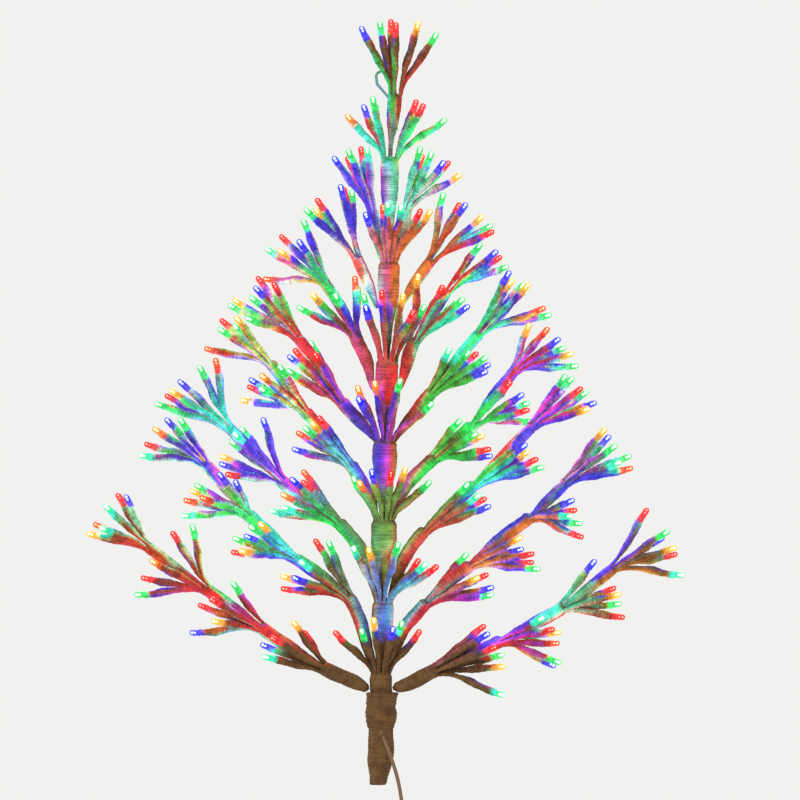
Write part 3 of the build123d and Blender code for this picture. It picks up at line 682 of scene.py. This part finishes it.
# Where the foot's axis stands, and how its end leans to the left
FOOT_PIXEL = 381
FOOT_DEPTH = -7.98 * MM
FOOT_LEAN = -0.075 * MM
FOOT_LEAN_FROM = 752
FOOT_SHAPES = {
    "trunk_foot": FootShape(
        outline=((784, 0.62), (782, 0.68), (776, 0.73), (768, 0.86), (760, 0.97), (742, 1), (729, 0.96),
                 (722, 0.875), (690, 0.865), (680, 0.88), (678, 0.88), (676, 0.84), (674, 0.78)),
        width=20.8 * MM, pitch=2.9 * MM, fold=0.45 * MM, lump=0.24 * MM,
        top=((0.93, 0.8 * MM), (0.8, 0.9 * MM), (0.55, 1.0 * MM), (0.2, 0.4 * MM)),
    ),
    "collar_wrap": FootShape(
        outline=((728, 0.79), (727, 0.82), (724, 0.875), (722, 0.895), (720.5, 0.95), (718, 0.93),
                 (716, 0.965), (711, 0.985), (710, 0.97), (708, 0.925), (704, 0.94), (703, 0.975),
                 (699, 0.97), (697, 1.0), (694.5, 1.02), (693.5, 1.06), (692.6, 1.06)),
        width=25.2 * MM, pitch=3.6 * MM, fold=0.6 * MM, lump=0.34 * MM,
        top=((0.95, 0.35 * MM), (0.8, 0.1 * MM), (0.75, -1.0 * MM)),
        lean=0.07 * MM, lean_from=708,
    ),
}


@dataclass
class TubeBuilder:
    """Gathers wound tubes into one mesh with its UV map."""

    points: list[np.ndarray] = field(default_factory=list)
    faces: list[tuple[int, ...]] = field(default_factory=list)
    uvs: list[tuple[float, float]] = field(default_factory=list)
    count: int = 0

    def add_rings(self, rings: list[np.ndarray], places: list[float] | None = None) -> None:
        """Join rings of points into one closed tube.

        Args:
            rings: The rings, each turning the same way round.
            places: How far along the tube each ring is, or nothing to measure it.
        """
        if places is None:
            middles = np.array([ring.mean(0) for ring in rings])
            places = np.concatenate([[0], np.cumsum(np.linalg.norm(np.diff(middles, axis=0), axis=1))])
        sides = len(rings[0])
        first = self.count
        self.points += rings
        for index in range(len(rings) - 1):
            low, high = (places[index + number] / UV_LENGTH for number in (0, 1))
            for corner in range(sides):
                after = (corner + 1) % sides
                a, b = first + index * sides + corner, first + index * sides + after
                self.faces.append((a, b, b + sides, a + sides))
                left, right = corner / sides, (corner + 1) / sides
                self.uvs += [(low, left), (low, right), (high, right), (high, left)]
        last = first + (len(rings) - 1) * sides
        for order, start in ((-1, first), (1, last)):
            self.faces.append(tuple(start + corner for corner in range(sides))[::order])
            self.uvs += [(0.0, 0.0)] * sides
        self.count += len(rings) * sides

    def add(self, run: Run, style: TapeStyle, tips: list[tuple[float, float]],
            draw: np.random.Generator) -> None:
        """Wind one run with tape.

        Args:
            run: The run to cover.
            style: The winding.
            tips: Rings past the wide end, as distance and radius, that close it.
            draw: The source of the winding's random phases.
        """
        middles, radii, places = run.resample(style.spacing)
        for out, radius in tips:
            middles = np.vstack([middles, run.line[-1] + run.end_way * out])
            radii = np.append(radii, radius)
            places = np.append(places, places[-1] + abs(out) * 0.5 + 0.2 * MM)
        rings = len(middles)
        wound = rings - len(tips)
        ways = np.vstack([np.gradient(middles[:wound], axis=0), np.tile(run.end_way, (len(tips), 1))])
        ways /= np.linalg.norm(ways, axis=1)[:, None]
        side = np.cross(ways[0], (0.0, 1.0, 0.0))
        turns = np.arange(style.sides) / style.sides
        angles = turns * math.tau
        phases = draw.uniform(0, math.tau, 4)
        kinks = draw.normal(0, style.kink, (max(int(places[-1] / style.kink_spacing), 2) + 1, 3))
        kinks[0] = kinks[-1] = 0
        stops = np.linspace(0, places[-1], len(kinks))
        middles = middles + np.column_stack([np.interp(places, stops, kinks[:, axis]) for axis in range(3)])
        first, second, third = style.lump_lengths
        tube = []
        for index in range(rings):
            side = unit(side - ways[index] * (side @ ways[index]))
            up = np.cross(ways[index], side)
            radius = np.full(style.sides, radii[index])
            if index < wound:
                place = places[index]
                edge = (place / style.pitch + turns + style.waver * np.sin(angles * 2 + phases[0])) % 1
                radius += style.height * (style.edge_rise - edge)
                lumps = (np.sin(place / first + angles * 2 + phases[1])
                         + np.sin(place / second - angles + phases[2])
                         + 0.7 * np.abs(np.sin(place / third + angles * 1.5 + phases[3])) - 0.4)
                radius += radii[index] * style.lump_share * lumps * 0.5
            tube.append(middles[index] + np.outer(np.cos(angles) * radius, side)
                        + np.outer(np.sin(angles) * radius, up))
        self.add_rings(tube, list(places))

    def build(self, name: str) -> bpy.types.Object:
        """Make the mesh object under a piece's name."""
        piece = smooth_piece(name, self.points, self.faces)
        layer = piece.data.uv_layers.new(name="tape")
        layer.data.foreach_set("uv", np.array(self.uvs, dtype=np.float32).ravel())
        return piece


@dataclass
class Lamp:
    """One light: where its lens starts, which way it points and its hue."""

    place: np.ndarray
    way: np.ndarray
    hue: Hue


def hue_at(place: np.ndarray) -> Hue:
    """Find a light's hue by its place in the photograph.

    Args:
        place: The middle of the light's dome.

    Returns:
        The hue of the nearest light in the table.
    """
    right = place[0] / PIXEL + TRUNK_PIXEL
    down = HOOK_PIXEL - place[2] / PIXEL
    nearest = [(min(math.hypot(right - x, down - y) for x, y in pixels), hue.name)
               for hue, pixels in LIGHT_PIXELS.items()]
    apart, name = min(nearest)
    if apart > ASTRAY_PIXELS:
        LOG.warning("light at %.0f, %.0f is %.1f pixels from the table", right, down, apart)
    return Hue[name]


@dataclass
class LampMaker:
    """Models one light and copies it to every place."""

    radius: float = 2.5 * MM
    body: float = 6.1 * MM
    # The bright spot near the top of the dome, and the diode's cup further down:
    # the radius of each, and its height from the body's end
    beads: tuple[tuple[float, float], ...] = ((1.45 * MM, 0.35 * MM), (1.1 * MM, -2.1 * MM))
    segments: int = 8
    ring_count: int = 6

    def __post_init__(self) -> None:
        """Model the lens and its beads, each a shape with the number of its material."""
        self.materials = [LENS.build(), DIODE.build()]
        self.shapes = [(*self.shape(self.lens()), 0)]
        self.shapes += [(*self.shape(self.bead(*bead)), 1) for bead in self.beads]

    @staticmethod
    def shape(made: bpy.types.Object) -> tuple[np.ndarray, list[tuple[int, ...]]]:
        """Take a modelled shape's mesh and remove its object."""
        points = np.array([vert.co for vert in made.data.vertices])
        faces = [tuple(face.vertices) for face in made.data.polygons]
        bpy.data.objects.remove(made)
        return points, faces

    def lens(self) -> bpy.types.Object:
        """Model the lens: a dome whose edge is drawn down into the body."""
        bpy.ops.mesh.primitive_uv_sphere_add(segments=self.segments, ring_count=self.ring_count,
                                             radius=self.radius)
        made = bpy.context.object
        bpy.ops.object.mode_set(mode="EDIT")
        bpy.ops.mesh.select_mode(type="VERT")
        bpy.ops.mesh.select_all(action="DESELECT")
        bpy.ops.object.mode_set(mode="OBJECT")
        for vert in made.data.vertices:
            vert.select = vert.co.z < -0.05 * MM
        bpy.ops.object.mode_set(mode="EDIT")
        bpy.ops.mesh.delete(type="VERT")
        bpy.ops.mesh.select_all(action="SELECT")
        bpy.ops.mesh.region_to_loop()
        bpy.ops.mesh.extrude_region_move(TRANSFORM_OT_translate={"value": (0, 0, -self.body)})
        bpy.ops.mesh.edge_face_add()
        bpy.ops.object.mode_set(mode="OBJECT")
        for vert in made.data.vertices:
            vert.co.z += self.body
        return made

    def bead(self, radius: float, height: float) -> bpy.types.Object:
        """Model a bright bead inside the lens, at a height from the body's end."""
        bpy.ops.mesh.primitive_ico_sphere_add(subdivisions=1, radius=radius,
                                              location=(0, 0, self.body + height))
        bpy.ops.object.transform_apply(location=True, rotation=False, scale=False)
        return bpy.context.object

    def build(self, name: str, lamps: list[Lamp]) -> bpy.types.Object:
        """Copy the light to each place, as one piece.

        Args:
            name: The piece's name.
            lamps: The lights.

        Returns:
            The new object.
        """
        points, faces, parts, colours, count = [], [], [], [], 0
        for lamp in lamps:
            side = unit(np.cross(lamp.way, (0.0, 1.0, 0.1)))
            turn = np.column_stack([side, np.cross(lamp.way, side), lamp.way])
            for shape, shape_faces, part in self.shapes:
                if part:
                    shape = shape.mean(0) + (shape - shape.mean(0)) * lamp.hue.core_size
                points.append(lamp.place + shape @ turn.T)
                faces += [tuple(count + corner for corner in face) for face in shape_faces]
                parts += [part] * len(shape_faces)
                colours += [lamp.hue.core if part else lamp.hue.lens] * len(shape)
                count += len(shape)
        piece = smooth_piece(name, points, faces)
        store_glow(piece.data, colours)
        for material in self.materials:
            piece.data.materials.append(material)
        piece.data.polygons.foreach_set("material_index", parts)
        return piece


@dataclass
class Glow:
    """What the lights throw on the paper round them, painted on its points as a glow, with painted shadows
    where other pieces stand in the way.
    """

    lamps: list[Lamp]
    # A beam's strength is 1 at this distance, and it ends at the far one
    reach: float = 25.0 * MM
    near: float = 3.0 * MM
    far: float = 90.0 * MM
    dome_height: float = 7.0 * MM
    # What reaches a face turned away, and how far light creeps round a face's edge
    stray: float = 0.06
    creep: float = 0.15
    # What a dome sends sideways and back down, and how narrow its beam is
    side_share: float = 0.24
    side_rise: float = 2.5
    side_least: float = 0.15
    beam_creep: float = 0.2
    beam_power: float = 2.5
    # The gleam round a light's seat
    seat_reach: float = 3.9 * MM
    seat_power: int = 4
    seat_gain: float = 2.0
    # How an eye or a camera used to the glare sees the sum
    gain: float = 1.7
    dark_below: float = 0.14
    pull: float = 1.9
    vivid: float = 2.1
    whiteness: float = 0.02
    # Beams weaker than this share aren't traced, and what a traced one keeps in shade
    rays_from: float = 0.04
    shade_left: float = 0.06
    lift: float = 0.5 * MM
    batch: int = 4000
    shade: BVHTree | None = None

    def __post_init__(self) -> None:
        """Gather the lights' places, directions and colours."""
        self.seats = np.array([lamp.place for lamp in self.lamps], np.float32)
        self.ways = np.array([lamp.way for lamp in self.lamps], np.float32)
        self.domes = self.seats + self.ways * self.dome_height
        self.hues = np.array([lamp.hue.thrown[:3] for lamp in self.lamps], np.float32)
        self.powers = np.array([lamp.hue.power for lamp in self.lamps], np.float32)

    def cast_shade(self, pieces: list[bpy.types.Object]) -> None:
        """Let pieces stand in the lights' way.

        Args:
            pieces: The pieces that throw shade.
        """
        points, faces, count = [], [], 0
        for piece in pieces:
            points += [vert.co[:] for vert in piece.data.vertices]
            faces += [[count + corner for corner in face.vertices] for face in piece.data.polygons]
            count += len(piece.data.vertices)
        self.shade = BVHTree.FromPolygons(points, faces)

    def strengths(self, points: np.ndarray, normals: np.ndarray) -> tuple[np.ndarray, np.ndarray]:
        """Work out what each light gives each point, with nothing in its way.

        Args:
            points: The points.
            normals: Which way the surface faces at each.

        Returns:
            Each light's beam on each point, and the gleam round its seat.
        """
        away = self.domes[None] - points[:, None]
        apart = np.linalg.norm(away, axis=2)
        facing = np.einsum("vlk,vk->vl", away, normals) / apart
        beam = -np.einsum("vlk,lk->vl", away, self.ways) / apart
        strength = (self.reach / (apart + self.near)) ** 2
        strength *= self.stray + (1 - self.stray) * np.clip(facing * (1 - self.creep) + self.creep, 0, 1)
        side = self.side_share * np.clip((1 + beam) * self.side_rise, self.side_least, 1)
        narrow = np.clip(beam * (1 - self.beam_creep) + self.beam_creep, 0, 1) ** self.beam_power
        strength *= side + (1 - side) * narrow
        strength *= np.clip(2 - 2 * apart / self.far, 0, 1) * self.powers
        seat = np.linalg.norm(self.seats[None] - points[:, None], axis=2)
        return strength, self.seat_gain * np.exp(-(seat / self.seat_reach) ** self.seat_power)

    def blocked(self, points: np.ndarray, normals: np.ndarray, strength: np.ndarray) -> None:
        """Take away the beams that another piece stands in.

        Args:
            points: The points.
            normals: Which way the surface faces at each.
            strength: Each light's beam on each point, which is changed.
        """
        floor = np.maximum(self.rays_from, strength.sum(1, keepdims=True) * self.rays_from)
        starts = points + normals * self.lift
        for index, lamp in np.argwhere(strength > floor):
            start = Vector(starts[index])
            way = Vector(self.domes[lamp]) - start
            length = way.length - LampMaker.radius
            if length > 0 and self.shade.ray_cast(start, way, length)[0]:
                strength[index, lamp] *= self.shade_left

    def mixed(self, strength: np.ndarray) -> np.ndarray:
        """Mix the lights' colours at each point, as an eye used to their glare sees them.

        Args:
            strength: What each light gives each point.

        Returns:
            The colour at each point.
        """
        pull = strength ** self.pull
        colour = pull @ self.hues
        colour = (colour / np.maximum(colour.max(axis=1, keepdims=True), 1e-9)) ** self.vivid
        colour += (1 - colour) * self.whiteness
        total = np.maximum(strength.sum(1, keepdims=True) - self.dark_below, 0)
        return 1 - np.exp(-self.gain * total * colour)

    def paint(self, piece: bpy.types.Object) -> None:
        """Store what falls on each point of a piece as its "glow" attribute.

        Args:
            piece: A finished mesh, in its rest place.
        """
        mesh = piece.data
        count = len(mesh.vertices)
        points = np.zeros(count * 3, np.float32)
        normals = np.zeros(count * 3, np.float32)
        mesh.vertices.foreach_get("co", points)
        mesh.vertices.foreach_get("normal", normals)
        points, normals = points.reshape(-1, 3), normals.reshape(-1, 3)
        glow = np.zeros((count, 3), np.float32)
        for start in range(0, count, self.batch):
            part = slice(start, start + self.batch)
            beams, seats = self.strengths(points[part], normals[part])
            if self.shade:
                self.blocked(points[part], normals[part], beams)
            glow[part] = self.mixed(beams + seats)
        store_glow(mesh, np.column_stack([glow, np.ones(count)]))


@dataclass
class Lead:
    """The low-voltage lead: its free run, its coil under the foot and its tail."""

    material: bpy.types.Material
    width: float = 2.9 * MM
    length: float = 1.594
    start: tuple[float, float, float] = (-2.4, -15.07, -526.86)
    seat_depth: float = 4.0 * MM
    # In millimetres from the lead's start in the foot
    points: tuple[tuple[float, float, float], ...] = (
        (0, 0, 0), (4.0, -10.8, -9.6), (9.4, -11.4, -23.9), (14.2, -11.6, -40.0),
        (17.4, -11.4, -61.0), (18.4, -11.0, -81.0), (18.4, -11.0, -101.0),
    )
    coil_width: float = 66.0 * MM
    coil_turns: int = 7
    coil_gap: float = 0.5 * MM
    points_per_turn: int = 16
    tail: float = 34.0 * MM
    tail_shares: tuple[float, ...] = (0.35, 0.7, 1.0)

    def route(self) -> list[Vector]:
        """Work out the lead's control points.

        Returns:
            The free run's points, the coil's turns and the tail.
        """
        start = Vector(self.start) * MM
        route = [start + Vector(point) * MM for point in self.points[:-1]]
        coil_start = start + Vector(self.points[-1]) * MM
        middle = coil_start - Vector((self.coil_width / 2, 0, 0))
        pitch = self.width + self.coil_gap
        halves = 2 * self.coil_turns - 1
        turn = math.tau / self.points_per_turn
        # A curve of order 3 runs inside its control points by this much
        reach = self.coil_width / 2 / (0.75 + 0.25 * math.cos(turn))
        for count in range(self.coil_turns * self.points_per_turn + 1):
            angle = turn * count
            half = min(max((angle - math.pi / 2) / math.pi, 0), halves)
            back = min(half, 1) + max(min(half, halves - 1) - 1, 0) / 2 + max(half - halves + 1, 0)
            route.append(middle + Vector((math.cos(angle) * reach, back * pitch, -math.sin(angle) * reach)))
        coil_end = coil_start + Vector((0, pitch * (halves / 2 + 1), 0))
        route += [coil_end - Vector((0, 0, self.tail * share)) for share in self.tail_shares]
        return route

    def build(self, frame: dict) -> None:
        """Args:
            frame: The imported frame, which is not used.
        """
        curve = bpy.data.curves.new("lead_cord", "CURVE")
        curve.dimensions = "3D"
        spline = curve.splines.new("NURBS")
        route = self.route()
        spline.points.add(len(route) - 1)
        for point, place in zip(spline.points, route):
            point.co = (*place, 1.0)
        spline.order_u = 3
        spline.use_endpoint_u = True
        spline.resolution_u = 6
        curve.bevel_depth = self.width / 2
        curve.bevel_resolution = 4
        curve.use_fill_caps = True
        curve.materials.append(self.material)
        cord = linked("lead_cord", curve)
        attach(cord, "trunk")
        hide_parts("lead")
        LOG.info("lead_cord: %d control points", len(route))


@dataclass
class Tree:
    """The whole tree: tape on the trunk and on every branch, and its lights."""

    frame: dict
    # A run that ends narrower than this is a twig
    twig_limit: float = 3.4 * MM
    # How far a length of trunk is carried down into the whorl below
    trunk_root: float = 6.0 * MM
    # The fewest slices that a run has
    least_slices: int = 8
    # The tape's end round a light's seat, as distance past the twig's end and radius
    twig_tips: tuple[tuple[float, float], ...] = (
        (0.0, 2.62 * MM), (0.95 * MM, 2.78 * MM), (1.1 * MM, 2.6 * MM), (0.9 * MM, 2.3 * MM),
        (0.1 * MM, 1.2 * MM),
    )
    # A stem's tape runs in between the twigs and onto them, in shares of its radius
    stem_tips: tuple[tuple[float, float], ...] = (
        (0.08, 0.98), (0.24, 0.9), (0.42, 0.77), (0.56, 0.55), (0.6, 0.2),
    )

    def __post_init__(self) -> None:
        """Read every light from the frame."""
        self.tape = PaperTape().build()
        self.lamp_maker = LampMaker()
        self.wound: list[bpy.types.Object] = []
        self.lamps = {name: [self.read_lamp(solid) for solid in solids_of(node)]
                      for name, node in self.frame["nodes"].items() if name.endswith("_lights")}
        self.glow = Glow([lamp for group in self.lamps.values() for lamp in group])
        LOG.info("read %d lights", len(self.glow.lamps))

    @staticmethod
    def read_lamp(solid: Solid) -> Lamp:
        """Read a light's place, direction and hue from its solid."""
        place, normal, _ = solid.widest_face()
        return Lamp(place, -normal, hue_at(place - normal * LampMaker.body))

    def add_piece(self, piece: bpy.types.Object, node: str) -> None:
        """Hang a piece on the body of the node that it stands for."""
        bodies = self.frame["record"]["behaviour"]["bodies"]
        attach(piece, next(body for body, nodes in bodies.items() if node in nodes))
        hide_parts(node)
        LOG.info("%s: %d faces", piece.name, len(piece.data.polygons))

    def add_tape(self, builder: TubeBuilder, node: str) -> None:
        """Make the wound tape of a node as its piece."""
        piece = builder.build(node + "_tape")
        piece.data.materials.append(self.tape)
        self.wound.append(piece)
        self.add_piece(piece, node)

    def wind(self, node: str, draw: np.random.Generator) -> None:
        """Wind tape over every run of a node.

        Args:
            node: The CAD node.
            draw: The source of its random phases.
        """
        builder = TubeBuilder()
        for solid in solids_of(self.frame["nodes"][node]):
            run = Run.read(solid)
            if len(run.radii) < self.least_slices:
                # The wall of a closed bore faces inwards, and has no tape
                continue
            run.smooth()
            if run.radii[-1] < self.twig_limit:
                builder.add(run, TWIG_TAPE, list(self.twig_tips), draw)
                continue
            style = STEM_TAPE
            if node.startswith("trunk"):
                style = TRUNK_TAPE
                run.lengthen(self.trunk_root)
            wide = run.radii[-1]
            builder.add(run, style, [(wide * out, wide * share) for out, share in self.stem_tips], draw)
        self.add_tape(builder, node)

    def wrap_foot(self, node: str, draw: np.random.Generator) -> None:
        """Wrap the foot or its collar in level turns of tape.

        Args:
            node: The CAD node.
            draw: The source of its random folds.
        """
        shape = FOOT_SHAPES[node]
        axis = (FOOT_PIXEL - TRUNK_PIXEL) * PIXEL
        downs, widths = zip(*shape.outline)
        rings = int((max(downs) - min(downs)) * PIXEL / shape.spacing)
        levels = np.linspace(max(downs), min(downs), rings)
        radii = np.interp(-levels, -np.array(downs), widths) * shape.width / 2
        angles = np.arange(shape.sides) / shape.sides * math.tau
        phases = draw.uniform(0, math.tau, 6)
        # The tape's edge wavers on its way round
        waver = 0.25 * np.sin(angles + phases[0]) + 0.08 * np.sin(angles * 3 + phases[1])
        low, high = shape.lump_lengths
        points = []
        for level, radius in zip(levels, radii):
            place = level * PIXEL
            out = radius + shape.fold * (0.5 - (place / shape.pitch + waver) % 1)
            out += shape.lump * (np.sin(angles * 2 + place / low + phases[2])
                                 + 0.6 * np.sin(angles * 5 - place / high + phases[3]))
            shift = FOOT_LEAN * max(level - FOOT_LEAN_FROM, 0) + shape.lean * max(shape.lean_from - level, 0)
            points.append(np.column_stack([
                axis + shift + np.cos(angles) * out, FOOT_DEPTH + np.sin(angles) * out,
                np.full(shape.sides, (HOOK_PIXEL - level) * PIXEL)]))
        for share, rise in shape.top:
            middle = points[-1].mean(0)
            points.append(middle + (points[-1] - middle) * share + (0, 0, rise))
        builder = TubeBuilder()
        builder.add_rings(points)
        self.add_tape(builder, node)

    def build(self) -> None:
        """Build every piece of tape and every light, and paint the glow on the tape."""
        for seed, node in enumerate(sorted(self.frame["nodes"])):
            if node in FOOT_SHAPES:
                self.wrap_foot(node, np.random.default_rng(seed))
            elif node.endswith("_wrap") or node == "trunk_twigs":
                self.wind(node, np.random.default_rng(seed))
            elif node.endswith("_lights"):
                self.add_piece(self.lamp_maker.build(node + "_lamps", self.lamps[node]), node)
        self.glow.cast_shade(self.wound)
        for piece in self.wound:
            self.glow.paint(piece)
        LOG.info("painted the glow on %d pieces", len(self.wound))


@dataclass
class Stage:
    """The camera, the soft lamps, the pale backdrop and the floor."""

    distance: float = 5.0
    sensor: float = 36.0
    sight: float = 40.0
    aim: tuple[float, float, float] = (0, 0, -0.26)
    world_strength: float = 0.6
    backdrop: str = "#F1F1EF"
    floor_level: float = -1.60
    floor_reach: float = 14.0
    floor_sides: int = 96
    # Each lamp's place, the side of its square face and its power in watts
    lamps: tuple[tuple[str, tuple[float, float, float], float, float], ...] = (
        ("key_lamp", (-1.6, -2.4, 1.2), 1.6, 50),
        ("fill_lamp", (2.0, -2.2, 0.2), 2.0, 12),
        ("back_lamp", (0.3, 2.2, 1.4), 1.6, 40),
    )

    def camera(self) -> None:
        """Look straight at the tree, with the photograph's frame."""
        middle = PHOTO_PIXELS / 2
        data = bpy.data.cameras.new("camera")
        data.sensor_width = self.sensor
        data.lens = self.sensor * self.distance / (PHOTO_PIXELS * PIXEL)
        data.clip_end = self.sight
        camera = linked("camera", data)
        camera.location = ((middle - TRUNK_PIXEL) * PIXEL, -self.distance, (HOOK_PIXEL - middle) * PIXEL)
        camera.rotation_euler = (math.pi / 2, 0, 0)
        bpy.context.scene.camera = camera

    def lamp(self, name: str, place: tuple[float, float, float], size: float, power: float) -> None:
        """Add a soft lamp aimed at the tree.

        Args:
            name: The lamp's name.
            place: Where it stands, in metres.
            size: The side of its square face.
            power: Its power in watts.
        """
        data = bpy.data.lights.new(name, "AREA")
        data.size = size
        data.energy = power
        lamp = linked(name, data)
        lamp.location = place
        lamp.rotation_mode = "QUATERNION"
        lamp.rotation_quaternion = (Vector(self.aim) - Vector(place)).to_track_quat("-Z", "Y")

    def world(self) -> None:
        """Set an even soft light that shows as a pale backdrop where it is seen."""
        world = bpy.data.worlds.new("studio")
        world.use_nodes = True
        tree = world.node_tree
        tree.nodes.clear()
        path = add_node(tree, "LightPath").outputs
        seen = add_node(tree, "Math", {"operation": "MAXIMUM"},
                        {0: path["Is Camera Ray"], 1: path["Is Glossy Ray"]})
        either = add_node(tree, "Math", {"operation": "MAXIMUM"},
                          {0: seen.outputs[0], 1: path["Is Transmission Ray"]})
        plain = add_node(tree, "Background", {"Color": linear("#FFFFFF"), "Strength": self.world_strength})
        backdrop = add_node(tree, "Background", {"Color": linear(self.backdrop), "Strength": 1.0})
        mix = add_node(tree, "MixShader",
                       links={0: either.outputs[0], 1: plain.outputs[0], 2: backdrop.outputs[0]})
        add_node(tree, "OutputWorld", links={"Surface": mix.outputs[0]})
        bpy.context.scene.world = world

    def floor(self) -> None:
        """Lay a floor under the tree, in matt pale paint that takes a soft shadow."""
        bpy.ops.mesh.primitive_circle_add(vertices=self.floor_sides, radius=self.floor_reach,
                                          fill_type="NGON", location=(0, 0, self.floor_level))
        floor = bpy.context.object
        floor.name = "floor"
        material, _, _ = new_material("pale_painted_floor",
                                      {"Base Color": linear("#F4F4F2"), "Roughness": 0.8})
        floor.data.materials.append(material)

    def build(self) -> None:
        """Set up everything but the camera."""
        self.world()
        self.floor()
        for lamp in self.lamps:
            self.lamp(*lamp)
        bpy.context.scene.view_settings.view_transform = "Standard"


def dress_nodes(frame: dict) -> None:
    """Give the CAD nodes that stay their materials.

    Args:
        frame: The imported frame.
    """
    finishes = {"hanging_loop": COATED_WIRE, "lead_sleeve": SLEEVE, "lead_tie": TIE, "plug_body": PLUG,
                "plug_barrel": NICKEL}
    built = {finish: finish.build() for finish in (STEEL, *finishes.values())}
    for name, node in frame["nodes"].items():
        finish = finishes.get(name, STEEL if name.endswith("_wire") else None)
        if finish:
            node.data.materials.clear()
            node.data.materials.append(built[finish])


def main() -> None:
    """Build the scene in order."""
    logging.basicConfig(level=logging.INFO, format="%(message)s")
    for thing in list(bpy.data.objects):
        bpy.data.objects.remove(thing)
    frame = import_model()
    bpy.ops.object.select_all(action="DESELECT")
    stage = Stage()
    stage.camera()
    Lead(SHEATH.build()).build(frame)
    tree = Tree(frame)
    tree.build()
    dress_nodes(frame)
    # Paint the lights' glow on the hanging loop as painted light
    tree.glow.paint(frame["nodes"]["hanging_loop"])
    stage.build()


if __name__ == "__main__":
    main()
